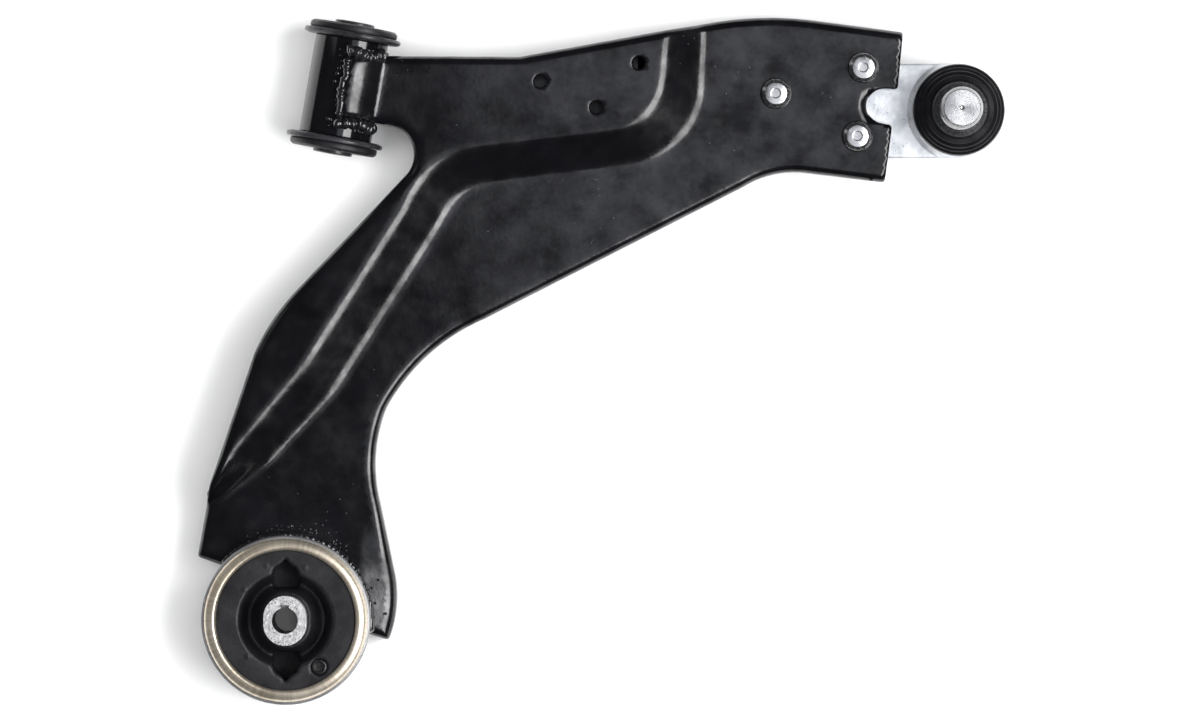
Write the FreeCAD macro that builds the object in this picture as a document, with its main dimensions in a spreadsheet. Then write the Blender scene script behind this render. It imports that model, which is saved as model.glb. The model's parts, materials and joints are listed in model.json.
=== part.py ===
import FreeCAD, Part
import Sketcher
import math
import os

Vector = FreeCAD.Vector
SHEET = "dims"

# Driving dimensions in millimetres and degrees. The origin is on the rear bush's bore axis at the
# lower end of its inner sleeve: +X points out to the ball joint, +Y forward to the front bush, +Z up.
DIMENSIONS = {
    # pressed shells
    "skirt_level": 3.0,
    "main_level": 25.0,
    "raised_level": 37.5,
    "sheet_gauge": 3.0,
    "closing_level": 16.0,
    "saddle_half": 15.0,
    "saddle_start": 1.2,
    "shell_gap": 0.15,
    "mouth_length": 40.0,
    "mouth_margin": 4.0,
    "mouth_depth": 13.0,
    "tooling_hole": 6.4,
    "drain_hole": 18.0,
    "ramp_start": 178.0,
    "ramp_end": 232.0,
    "stitch_radius": 2.2,
    "bead_radius": 2.6,
    # front bush, horizontal
    "front_centre_x": 29.05,
    "front_centre_y": 268.75,
    "front_centre_z": 25.0,
    "front_splay": 10.0,
    "sleeve_radius": 18.5,
    "sleeve_bore": 16.0,
    "sleeve_half": 25.0,
    "can_bore": 14.6,
    "can_reach": 12.0,
    "can_flange_radius": 24.65,
    "can_flange_gauge": 2.6,
    "collar_radius": 22.2,
    "collar_length": 4.4,
    "front_tube_radius": 10.0,
    "front_tube_bore": 6.25,
    "front_tube_half": 33.8,
    # rear bush, vertical
    "housing_radius": 41.5,
    "housing_bore": 38.5,
    "housing_foot": 2.5,
    "housing_crest": 34.0,
    "can_gauge": 2.0,
    "flange_radius": 42.9,
    "flange_bore": 35.3,
    "flange_crest": 40.5,
    "rubber_foot": 5.0,
    "rubber_crest": 37.5,
    "recess_radius": 23.2,
    "recess_floor": 22.0,
    "channel_depth": 4.0,
    "channel_foot": 9.0,
    "channel_crest": 28.0,
    "void_width": 12.8,
    "void_tip": 31.0,
    "core_width": 21.7,
    "core_length": 25.0,
    "core_height": 48.0,
    "core_bore": 12.8,
    "keyway_width": 4.2,
    "keyway_depth": 1.6,
    "keyway_length": 12.0,
    "plug_x": 17.0,
    "plug_y": -23.5,
    "plug_diameter": 7.8,
    "plug_depth": 5.0,
    # ball joint
    "ball_x": 339.4,
    "ball_y": 257.3,
    "ball_z": 17.0,
    "ball_radius": 13.5,
    "seat_radius": 18.0,
    "cup_radius": 21.5,
    "cup_rim_radius": 23.5,
    "cup_crest": 37.0,
    "cup_foot": 1.5,
    "plate_gauge": 6.0,
    "plate_width": 48.0,
    "plate_tail_x": 242.0,
    "boot_radius": 22.4,
    "boot_crest": 56.0,
    "boot_wall": 2.2,
    "stud_radius": 10.5,
    "stud_neck": 7.0,
    "stud_seat": 10.0,
    "stud_end": 88.0,
    "stud_waist": 8.4,
    # rivets
    "rivet_head": 16.0,
    "rivet_crown": 4.0,
    "rivet_shank": 10.0,
    # tool bodies that run past the part
    "tool_foot": -10.0,
    "tool_height": 80.0,
    "tool_heel": -60.0,
    "tool_toe": 400.0,
    "tool_width": 500.0,
    "sleeve_room_length": 60.0,
}

# Plan of the arm, anticlockwise from the front bush: each corner has a name, its place
# and, where the next stretch is round, that stretch's radius, positive where it bulges to the right
# of the drawing direction.
ARM_PLAN = [
    ("tongue_front", 36.0, 284.9, 0),
    ("tongue_rear", 33.0, 253.2, 0),
    ("hook_front", 52.0, 249.6, -15.0),
    ("hook_rear", 59.5, 223.5, 0),
    ("flank_front", 3.5, 164.6, 110.0),
    ("flank_rear", -16.2, 134.0, 0),
    ("heel_front", -38.5, 68.0, 0),
    ("heel_corner", -45.0, 31.8, 0),
    ("ring_left", -33.1, 28.3, 0),
    ("ring_right", 42.5, -7.5, 0),
    ("tail_corner", 51.6, -10.6, 60.0),
    ("tail_front", 55.0, 22.2, 0),
    ("waist_rear", 47.5, 58.6, -78.0),
    ("waist_front", 50.5, 107.0, -102.0),
    ("beam_rear", 100.0, 152.0, 0),
    ("beam_front", 231.0, 218.7, -48.0),
    ("toe_rear", 264.0, 225.7, 0),
    ("toe_corner", 302.5, 221.0, 0),
    ("notch_rear", 306.3, 249.8, 0),
    ("notch_inner", 300.5, 251.0, -8.9),
    ("notch_outer", 302.0, 268.6, 0),
    ("notch_front", 309.1, 268.2, 0),
    ("toe_tip", 311.8, 297.2, 0),
    ("crown_outer", 266.0, 303.2, 170.0),
    ("crown_inner", 215.0, 302.0, 0),
    ("front_edge", 118.0, 284.4, 0),
]

# The swage that divides the raised front panel from the lower main panel. It starts at the heel and
# leaves over the front edge; its upper and lower bends have matching stretches.
UPPER_BEND = [
    ("upper_heel", -41.0, 60.0, 0),
    ("upper_flank", -24.0, 88.0, 0),
    ("upper_mid", 9.6, 129.1, 0),
    ("upper_turn", 60.6, 209.1, -41.0),
    ("upper_run", 95.3, 238.1, 0),
    ("upper_bow", 164.9, 246.2, 33.0),
    ("upper_rise", 190.4, 274.0, 0),
    ("upper_exit", 194.5, 320.0, 0),
]
LOWER_BEND = [
    ("lower_heel", -40.5, 58.0, 0),
    ("lower_flank", -10.2, 78.8, 0),
    ("lower_mid", 24.0, 115.0, 0),
    ("lower_turn", 77.9, 201.0, -38.0),
    ("lower_run", 103.0, 222.4, 0),
    ("lower_bow", 180.0, 232.0, 39.0),
    ("lower_rise", 209.5, 268.0, 0),
    ("lower_exit", 211.5, 320.0, 0),
]
# Corners well outside the arm that close each bend line round the main panel.
BEND_CLOSURE = [
    ("closure_front", 360.0, 320.0, 0),
    ("closure_rear", 360.0, -60.0, 0),
    ("closure_heel", -90.0, -60.0, 0),
    ("closure_left", -90.0, 50.0, 0),
]

# Stitches of weld: the corner where the edge starts, how far along it the bead starts, its length.
STITCHES = [
    ("beam_rear", 20.0, 34.0),
    ("beam_rear", 58.0, 24.0),
    ("flank_rear", 22.0, 30.0),
    ("hook_rear", 28.0, 30.0),
]

TOOLING_HOLES = [(128.4, 271.9), (178.2, 281.2), (156.6, 258.7)]
DRAINS = [(95.0, 185.0), (20.0, 95.0)]
RIVETS = [(291.6, 279.2), (288.7, 244.5), (247.4, 266.1)]


def make_sheet(doc):
    """Put every driving dimension in the sheet, one aliased cell each."""
    sheet = doc.addObject("Spreadsheet::Sheet", SHEET)
    rows = dict(DIMENSIONS)
    for plan in (ARM_PLAN, UPPER_BEND, LOWER_BEND, BEND_CLOSURE):
        for name, x, y, radius in plan:
            rows[name + "_x"] = x
            rows[name + "_y"] = y
            if radius:
                rows[name + "_r"] = abs(radius)
    for row, (alias, value) in enumerate(rows.items(), start=1):
        sheet.set("A%d" % row, alias)
        sheet.set("B%d" % row, str(value))
        sheet.setAlias("B%d" % row, alias)
    doc.recompute()
    return sheet


def cell(alias):
    return SHEET + "." + alias


def origin_plane(body, role):
    return [feature for feature in body.Origin.OriginFeatures if feature.Role == role][0]


def new_body(doc, name):
    body = doc.addObject("PartDesign::Body", name)
    body.Label = name
    return body


def new_sketch(body, name, role):
    """A sketch on one of the body's origin planes."""
    sketch = body.newObject("Sketcher::SketchObject", name)
    sketch.AttachmentSupport = [(origin_plane(body, role), "")]
    sketch.MapMode = "FlatFace"
    return sketch


def bind(sketch, kind, place, seed, expression):
    """Constrain an element, or one of its points, to an expression on the sheet."""
    number = sketch.addConstraint(Sketcher.Constraint(kind, *place, seed))
    sketch.setExpression("Constraints[%d]" % number, expression)


def draw_outline(sketch, plan):
    """Draw a closed outline whose corners and radii are the sheet's cells."""
    count = len(plan)
    starts = []
    ends = []
    for index, (name, x, y, radius) in enumerate(plan):
        start = Vector(x, y, 0)
        end = Vector(plan[(index + 1) % count][1], plan[(index + 1) % count][2], 0)
        if radius:
            chord = end - start
            half = chord.Length / 2
            rise = abs(radius) - math.sqrt(radius * radius - half * half)
            right = Vector(chord.y, -chord.x, 0).normalize()
            middle = (start + end) / 2 + right * math.copysign(rise, radius)
            sketch.addGeometry(Part.Arc(start, middle, end))
        else:
            sketch.addGeometry(Part.LineSegment(start, end))
        # A stretch that bulges to the left runs against its arc's own direction.
        starts.append(2 if radius < 0 else 1)
        ends.append(1 if radius < 0 else 2)
    for index in range(count):
        after = (index + 1) % count
        sketch.addConstraint(Sketcher.Constraint("Coincident", index, ends[index], after, starts[after]))
    for index, (name, x, y, radius) in enumerate(plan):
        bind(sketch, "DistanceX", (index, starts[index]), x, cell(name + "_x"))
        bind(sketch, "DistanceY", (index, starts[index]), y, cell(name + "_y"))
        if radius:
            bind(sketch, "Radius", (index,), abs(radius), cell(name + "_r"))


def draw_profile(sketch, corners):
    """Draw a closed polygon whose corners are pairs of expressions on the sheet."""
    count = len(corners)
    for index in range(count):
        angle = 2 * math.pi * index / count
        after = 2 * math.pi * (index + 1) / count
        start = Vector(20 + 10 * math.cos(angle), 20 + 10 * math.sin(angle), 0)
        end = Vector(20 + 10 * math.cos(after), 20 + 10 * math.sin(after), 0)
        sketch.addGeometry(Part.LineSegment(start, end))
    for index in range(count):
        sketch.addConstraint(Sketcher.Constraint("Coincident", index, 2, (index + 1) % count, 1))
    for index, (across, up) in enumerate(corners):
        bind(sketch, "DistanceX", (index, 1), 20.0, across)
        bind(sketch, "DistanceY", (index, 1), 20.0, up)


def revolve(doc, name, profile):
    """A body turned about its own Z axis from a polygon of (radius, level) expressions."""
    body = new_body(doc, name)
    sketch = new_sketch(body, name + "_profile", "XZ_Plane")
    draw_profile(sketch, profile)
    turned = body.newObject("PartDesign::Revolution", name + "_turned")
    turned.Profile = sketch
    turned.ReferenceAxis = (sketch, ["V_Axis"])
    turned.Angle = 360
    doc.recompute()
    return body


def cylinder(doc, name, radius, length, level):
    solid = doc.addObject("Part::Cylinder", name)
    solid.setExpression("Radius", radius)
    solid.setExpression("Height", length)
    solid.setExpression("Placement.Base.z", level)
    return solid


def through_rods(doc, name, radius, places):
    """Upright rods, at plan positions, that cut right through the part."""
    rods = []
    for number, (x, y) in enumerate(places, start=1):
        rod = cylinder(doc, "%s_%d" % (name, number), radius, cell("tool_height"), cell("tool_foot"))
        rod.Placement.Base = Vector(x, y, DIMENSIONS["tool_foot"])
        rods.append(rod)
    return rods


def front_heading():
    """The way the front bush's axis points in plan, forward and outward."""
    splay = math.radians(DIMENSIONS["front_splay"])
    return Vector(math.sin(splay), math.cos(splay), 0)


def stand_at(piece, x, y):
    """Stand a piece that was drawn on the Z axis at a plan position from the sheet."""
    piece.setExpression("Placement.Base.x", x)
    piece.setExpression("Placement.Base.y", y)


def lay_on_front_axis(piece):
    """Turn a piece drawn on the Z axis onto the front bush's axis, its +Z end forward."""
    piece.Placement.Rotation = FreeCAD.Rotation(Vector(0, 0, 1), front_heading())
    piece.setExpression("Placement.Base.x", "dims.front_centre_x")
    piece.setExpression("Placement.Base.y", "dims.front_centre_y")
    piece.setExpression("Placement.Base.z", "dims.front_centre_z")


def cut(doc, name, base, tool):
    result = doc.addObject("Part::Cut", name)
    result.Label = name
    result.Base = base
    result.Tool = tool
    return result


def fuse(doc, name, shapes):
    result = doc.addObject("Part::MultiFuse", name)
    result.Label = name
    result.Shapes = shapes
    return result


def plan_sketch(doc, name, plan, level):
    sketch = doc.addObject("Sketcher::SketchObject", name)
    draw_outline(sketch, plan)
    sketch.setExpression("Placement.Base.z", level)
    return sketch


def arm_block(doc, name, inset, foot, crest):
    """The arm's plan, drawn in by a margin and raised from one level to another."""
    outline = plan_sketch(doc, name + "_plan", ARM_PLAN, foot)
    if inset:
        margin = doc.addObject("Part::Offset2D", name + "_margin")
        margin.Source = outline
        margin.Join = 2
        margin.setExpression("Value", "-(" + inset + ")")
        outline = margin
    block = doc.addObject("Part::Extrusion", name)
    block.Base = outline
    block.DirMode = "Custom"
    block.Dir = Vector(0, 0, 1)
    block.Solid = True
    block.setExpression("LengthFwd", "(" + crest + ") - (" + foot + ")")
    return block


def swage_block(doc, name, drop):
    """What lies above the main panel and outside the swage's slope, lowered by a drop."""
    upper = plan_sketch(doc, name + "_upper", UPPER_BEND + BEND_CLOSURE, "dims.raised_level - " + drop)
    lower = plan_sketch(doc, name + "_lower", LOWER_BEND + BEND_CLOSURE, "dims.main_level - " + drop)
    block = doc.addObject("Part::Loft", name)
    block.Sections = [upper, lower]
    block.Solid = True
    block.Ruled = True
    return block


def stepped_block(doc, name, inset, foot, drop):
    """A solid with the arm's stepped top."""
    block = arm_block(doc, name + "_block", inset, foot, "dims.raised_level - " + drop)
    swage = swage_block(doc, name + "_swage", drop)
    return cut(doc, name, block, swage)


def group_of(doc, name, shapes):
    """Alike solids that stay apart, in one node."""
    result = doc.addObject("Part::Compound", name)
    result.Label = name
    result.Links = shapes
    return result


def sleeve_room(doc, name):
    """Two solid rods, one each way from the front bush's centre, as thick as its sleeve."""
    ahead = cylinder(doc, name + "_ahead", "dims.sleeve_radius", cell("sleeve_room_length"), "0")
    lay_on_front_axis(ahead)
    behind = cylinder(doc, name + "_behind", "dims.sleeve_radius", cell("sleeve_room_length"), "0")
    lay_on_front_axis(behind)
    turn_round = FreeCAD.Rotation(Vector(0, 0, 1), 180)
    behind.Placement.Rotation = turn_round.multiply(behind.Placement.Rotation)
    return [ahead, behind]


def shell_cutters(doc, name):
    """The rear housing and the front sleeve, cleared from a shell."""
    ring = cylinder(doc, name + "_ring", "dims.housing_radius", cell("tool_height"), cell("tool_foot"))
    return [ring] + sleeve_room(doc, name + "_sleeve")


def make_saddle(doc):
    """The tongue of sheet that climbs from the raised panel over the sleeve, nearly to its crown."""
    wrap = cylinder(doc, "saddle_wrap", "dims.sleeve_radius + dims.sheet_gauge", "dims.saddle_half * 2", "0")
    lay_on_front_axis(wrap)
    splay = "(dims.front_splay * 1 deg)"
    wrap.setExpression("Placement.Base.x", "dims.front_centre_x - dims.saddle_half * sin" + splay)
    wrap.setExpression("Placement.Base.y", "dims.front_centre_y - dims.saddle_half * cos" + splay)
    side = doc.addObject("Part::Box", "saddle_side")
    side.setExpression("Length", "dims.sleeve_radius + dims.sheet_gauge * 4")
    side.setExpression("Width", "dims.saddle_half * 2")
    side.setExpression("Height", "dims.sleeve_radius + dims.sheet_gauge * 4")
    side.Placement.Rotation = FreeCAD.Rotation(Vector(0, 0, 1), -DIMENSIONS["front_splay"])
    side.setExpression("Placement.Base.x", "dims.front_centre_x - dims.saddle_half * sin" + splay
                       + " + dims.saddle_start * cos" + splay)
    side.setExpression("Placement.Base.y", "dims.front_centre_y - dims.saddle_half * cos" + splay
                       + " - dims.saddle_start * sin" + splay)
    side.setExpression("Placement.Base.z", "dims.raised_level - dims.sheet_gauge")
    saddle = doc.addObject("Part::Common", "saddle")
    saddle.Base = wrap
    saddle.Tool = side
    return saddle


def make_upper_shell(doc):
    """The stepped pressing, open below, with a mouth at the toe for the ball joint's plate."""
    outside = stepped_block(doc, "upper_outside", "", "dims.skirt_level", "0")
    inside = stepped_block(doc, "upper_inside", "dims.sheet_gauge", "0", "dims.sheet_gauge")
    pressing = cut(doc, "upper_pressing", outside, inside)
    mouth = doc.addObject("Part::Box", "toe_mouth")
    mouth.setExpression("Length", cell("mouth_length"))
    mouth.setExpression("Width", "dims.plate_width + dims.mouth_margin * 2")
    mouth.setExpression("Height", "dims.main_level - dims.sheet_gauge")
    mouth.setExpression("Placement.Base.x", "dims.notch_outer_x - dims.mouth_depth")
    mouth.setExpression("Placement.Base.y", "dims.ball_y - dims.plate_width / 2 - dims.mouth_margin")
    holes = through_rods(doc, "tooling_hole", "dims.tooling_hole / 2", TOOLING_HOLES)
    holes += through_rods(doc, "rivet_hole", "dims.rivet_shank / 2", RIVETS)
    under_toe = side_profile(doc, "under_toe", [
        ("dims.ramp_start", "0"),
        ("dims.ramp_start", "dims.skirt_level"),
        ("dims.ramp_end", "dims.closing_level - dims.sheet_gauge"),
        ("dims.tool_toe", "dims.closing_level - dims.sheet_gauge"),
        ("dims.tool_toe", "0"),
    ])
    tools = fuse(doc, "upper_tools", shell_cutters(doc, "upper") + holes + [mouth, under_toe])
    saddled = fuse(doc, "upper_saddled", [pressing, make_saddle(doc)])
    return cut(doc, "upper_shell", saddled, tools)


def side_profile(doc, name, corners):
    """A solid as wide as the arm, from corners of (x, level) expressions seen from the side."""
    sketch = doc.addObject("Sketcher::SketchObject", name + "_side")
    draw_profile(sketch, corners)
    sketch.Placement.Rotation = FreeCAD.Rotation(Vector(1, 0, 0), 90)
    sketch.setExpression("Placement.Base.y", cell("tool_toe"))
    band = doc.addObject("Part::Extrusion", name)
    band.Base = sketch
    band.DirMode = "Custom"
    band.Dir = Vector(0, -1, 0)
    band.Solid = True
    band.setExpression("LengthFwd", cell("tool_width"))
    return band


def make_lower_shell(doc):
    """The closing pressing: a floor between the skirts that climbs to clamp the plate at the toe."""
    room = arm_block(doc, "lower_room", "dims.sheet_gauge + dims.shell_gap", "0", cell("main_level"))
    floor = side_profile(doc, "lower_floor", [
        ("dims.tool_heel", "dims.skirt_level"),
        ("dims.ramp_start", "dims.skirt_level"),
        ("dims.ramp_end", "dims.closing_level - dims.sheet_gauge"),
        ("dims.tool_toe", "dims.closing_level - dims.sheet_gauge"),
        ("dims.tool_toe", "dims.closing_level"),
        ("dims.ramp_end - 0.3", "dims.closing_level"),
        ("dims.ramp_start - 0.3", "dims.skirt_level + dims.sheet_gauge"),
        ("dims.tool_heel", "dims.skirt_level + dims.sheet_gauge"),
    ])
    pressing = doc.addObject("Part::Common", "lower_pressing")
    pressing.Base = room
    pressing.Tool = floor
    holes = through_rods(doc, "drain", "dims.drain_hole / 2", DRAINS)
    holes += through_rods(doc, "lower_rivet_hole", "dims.rivet_shank / 2", RIVETS)
    tools = fuse(doc, "lower_tools", shell_cutters(doc, "lower") + holes)
    return cut(doc, "lower_shell", pressing, tools)


def make_front_bush(doc):
    """Two flanged half bushes pressed into a welded sleeve, on one through tube."""
    sleeve = revolve(doc, "front_bush_sleeve", [
        ("dims.sleeve_bore", "-dims.sleeve_half"),
        ("dims.sleeve_radius", "-dims.sleeve_half"),
        ("dims.sleeve_radius", "dims.sleeve_half"),
        ("dims.sleeve_bore", "dims.sleeve_half"),
    ])
    tube = revolve(doc, "front_bush_inner_tube", [
        ("dims.front_tube_bore", "-dims.front_tube_half"),
        ("dims.front_tube_radius - 0.8", "-dims.front_tube_half"),
        ("dims.front_tube_radius", "-dims.front_tube_half + 0.8"),
        ("dims.front_tube_radius", "dims.front_tube_half - 0.8"),
        ("dims.front_tube_radius - 0.8", "dims.front_tube_half"),
        ("dims.front_tube_bore", "dims.front_tube_half"),
    ])
    pieces = [sleeve, tube]
    for end, sign in (("front", ""), ("rear", "-")):
        flange = "dims.sleeve_half + dims.can_flange_gauge"
        can = revolve(doc, "front_bush_can_" + end, [
            ("dims.can_bore", sign + "(dims.sleeve_half - dims.can_reach)"),
            ("dims.sleeve_bore", sign + "(dims.sleeve_half - dims.can_reach)"),
            ("dims.sleeve_bore", sign + "dims.sleeve_half"),
            ("dims.can_flange_radius", sign + "(dims.sleeve_half + 0.6)"),
            ("dims.can_flange_radius", sign + "(" + flange + " + 0.6)"),
            ("dims.can_bore + 3", sign + "(" + flange + ")"),
            ("dims.can_bore", sign + "(" + flange + " - 1)"),
        ])
        collar = revolve(doc, "front_bush_rubber_" + end, [
            ("dims.front_tube_radius", sign + "(dims.sleeve_half - dims.can_reach + 1)"),
            ("dims.can_bore", sign + "(dims.sleeve_half - dims.can_reach + 1)"),
            ("dims.can_bore", sign + "(" + flange + " - 1)"),
            ("dims.can_bore + 3", sign + "(" + flange + ")"),
            ("dims.collar_radius", sign + "(" + flange + " + 0.42)"),
            ("dims.collar_radius", sign + "(" + flange + " + dims.collar_length - 1.5)"),
            ("dims.collar_radius - 1.5", sign + "(" + flange + " + dims.collar_length)"),
            ("dims.front_tube_radius", sign + "(" + flange + " + dims.collar_length)"),
        ])
        pieces += [can, collar]
    for piece in pieces:
        lay_on_front_axis(piece)
    return pieces


def oval_post(doc, name, level, height):
    """An upright post with the inner sleeve's oval section: two round sides and the flats between."""
    half_flat = "(dims.core_length - dims.core_width) / 2"
    front = cylinder(doc, name + "_front", "dims.core_width / 2", height, level)
    front.setExpression("Placement.Base.y", half_flat)
    rear = cylinder(doc, name + "_rear", "dims.core_width / 2", height, level)
    rear.setExpression("Placement.Base.y", "-" + half_flat)
    flats = doc.addObject("Part::Box", name + "_flats")
    flats.setExpression("Length", cell("core_width"))
    flats.setExpression("Width", "dims.core_length - dims.core_width")
    flats.setExpression("Height", height)
    flats.setExpression("Placement.Base.x", "-dims.core_width / 2")
    flats.setExpression("Placement.Base.y", "-" + half_flat)
    flats.setExpression("Placement.Base.z", level)
    return fuse(doc, name, [front, rear, flats])


def make_rear_core(doc):
    """The inner sleeve: oval outside, bored, with a keyway at its forward side."""
    post = oval_post(doc, "core_post", "0", cell("core_height"))
    bore = cylinder(doc, "core_bore_room", "dims.core_bore / 2", cell("tool_height"), cell("tool_foot"))
    keyway = doc.addObject("Part::Box", "core_keyway")
    keyway.setExpression("Length", cell("keyway_width"))
    keyway.setExpression("Width", "dims.core_bore / 2 + dims.keyway_depth")
    keyway.setExpression("Height", cell("core_height"))
    keyway.setExpression("Placement.Base.x", "-dims.keyway_width / 2")
    keyway.setExpression("Placement.Base.z", "dims.core_height - dims.keyway_length")
    return cut(doc, "rear_bush_inner_sleeve", post, fuse(doc, "core_rooms", [bore, keyway]))


def ogee_void(doc, name, sign):
    """A pointed opening through the rubber, forward or rearward of the sleeve."""
    sketch = doc.addObject("Sketcher::SketchObject", name + "_plan")
    half = "dims.void_width / 2"
    root = "dims.core_length / 2 + 2.2"
    draw_profile(sketch, [
        ("-(" + half + ")", sign + "(" + root + ")"),
        (half, sign + "(" + root + ")"),
        (half, sign + "(dims.recess_radius + 1)"),
        ("dims.void_width / 5", sign + "(dims.void_tip - 2.6)"),
        ("0", sign + "dims.void_tip"),
        ("-dims.void_width / 5", sign + "(dims.void_tip - 2.6)"),
        ("-(" + half + ")", sign + "(dims.recess_radius + 1)"),
    ])
    opening = doc.addObject("Part::Extrusion", name)
    opening.Base = sketch
    opening.DirMode = "Custom"
    opening.Dir = Vector(0, 0, 1)
    opening.Solid = True
    opening.setExpression("LengthFwd", cell("tool_height"))
    return opening


def make_rear_bush(doc):
    """A vertical fluid-filled bush: housing, flanged can, channel ring, rubber and sleeve."""
    housing = revolve(doc, "rear_bush_housing", [
        ("dims.housing_bore", "dims.housing_foot"),
        ("dims.housing_radius", "dims.housing_foot"),
        ("dims.housing_radius", "dims.housing_crest"),
        ("dims.housing_bore", "dims.housing_crest"),
    ])
    can_bore = "dims.housing_bore - dims.can_gauge"
    can = revolve(doc, "rear_bush_can", [
        (can_bore, "dims.housing_foot - 1"),
        ("dims.housing_bore", "dims.housing_foot - 1"),
        ("dims.housing_bore", "dims.housing_crest"),
        ("dims.flange_radius", "dims.housing_crest"),
        ("dims.flange_radius", "dims.flange_crest - 4.3"),
        ("dims.flange_radius - 0.9", "dims.flange_crest - 2.6"),
        ("dims.flange_radius - 2.2", "dims.flange_crest - 0.6"),
        ("dims.flange_radius - 3.6", "dims.flange_crest"),
        ("dims.flange_radius - 4.8", "dims.flange_crest - 0.3"),
        ("dims.flange_bore", "dims.flange_crest - 1.8"),
        ("dims.flange_bore", "dims.flange_crest - 3"),
        (can_bore, "dims.flange_crest - 3"),
    ])
    channel = revolve(doc, "rear_bush_channel_ring", [
        (can_bore + " - dims.channel_depth", "dims.channel_foot"),
        (can_bore, "dims.channel_foot"),
        (can_bore, "dims.channel_crest"),
        (can_bore + " - dims.channel_depth", "dims.channel_crest"),
    ])
    blank = revolve(doc, "rear_rubber_blank", [
        ("1", "dims.rubber_foot"),
        (can_bore, "dims.rubber_foot"),
        (can_bore, "dims.channel_foot"),
        (can_bore + " - dims.channel_depth", "dims.channel_foot"),
        (can_bore + " - dims.channel_depth", "dims.channel_crest"),
        (can_bore, "dims.channel_crest"),
        (can_bore, "dims.rubber_crest - 0.6"),
        ("dims.flange_bore", "dims.rubber_crest - 0.2"),
        ("dims.recess_radius + 1.5", "dims.rubber_crest"),
        ("dims.recess_radius", "dims.rubber_crest - 1.2"),
        ("dims.core_length / 2 + 4", "dims.recess_floor"),
        ("1", "dims.recess_floor"),
    ])
    core = make_rear_core(doc)
    core_room = oval_post(doc, "core_room", "0", cell("tool_height"))
    plug_floor = "dims.rubber_crest - dims.plug_depth"
    plug_seat = cylinder(doc, "plug_seat", "dims.plug_diameter / 2", cell("tool_height"), plug_floor)
    stand_at(plug_seat, cell("plug_x"), cell("plug_y"))
    voids = [ogee_void(doc, "front_void", ""), ogee_void(doc, "rear_void", "-")]
    rooms = fuse(doc, "rubber_rooms", [core_room, plug_seat] + voids)
    rubber = cut(doc, "rear_bush_rubber", blank, rooms)
    plug = cylinder(doc, "rear_bush_fill_plug", "dims.plug_diameter / 2", "dims.plug_depth + 0.4", plug_floor)
    plug.Label = "rear_bush_fill_plug"
    stand_at(plug, cell("plug_x"), cell("plug_y"))
    return [housing, can, channel, rubber, core, plug]


def make_ball_plate(doc):
    """The forged plate that the rivets clamp, with a round end about the ball's cup."""
    level = "dims.main_level - dims.sheet_gauge - dims.plate_gauge"
    tongue = doc.addObject("Part::Box", "plate_tongue")
    tongue.setExpression("Length", "dims.ball_x - dims.plate_tail_x")
    tongue.setExpression("Width", cell("plate_width"))
    tongue.setExpression("Height", cell("plate_gauge"))
    tongue.setExpression("Placement.Base.x", cell("plate_tail_x"))
    tongue.setExpression("Placement.Base.y", "dims.ball_y - dims.plate_width / 2")
    tongue.setExpression("Placement.Base.z", level)
    end = cylinder(doc, "plate_end", "dims.plate_width / 2", cell("plate_gauge"), level)
    stand_at(end, cell("ball_x"), cell("ball_y"))
    eye = cylinder(doc, "plate_eye", "dims.cup_radius", cell("tool_height"), cell("tool_foot"))
    stand_at(eye, cell("ball_x"), cell("ball_y"))
    holes = [eye] + through_rods(doc, "plate_rivet_hole", "dims.rivet_shank / 2", RIVETS)
    blank = fuse(doc, "plate_blank", [tongue, end])
    return cut(doc, "ball_joint_plate", blank, fuse(doc, "plate_holes", holes))


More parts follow.
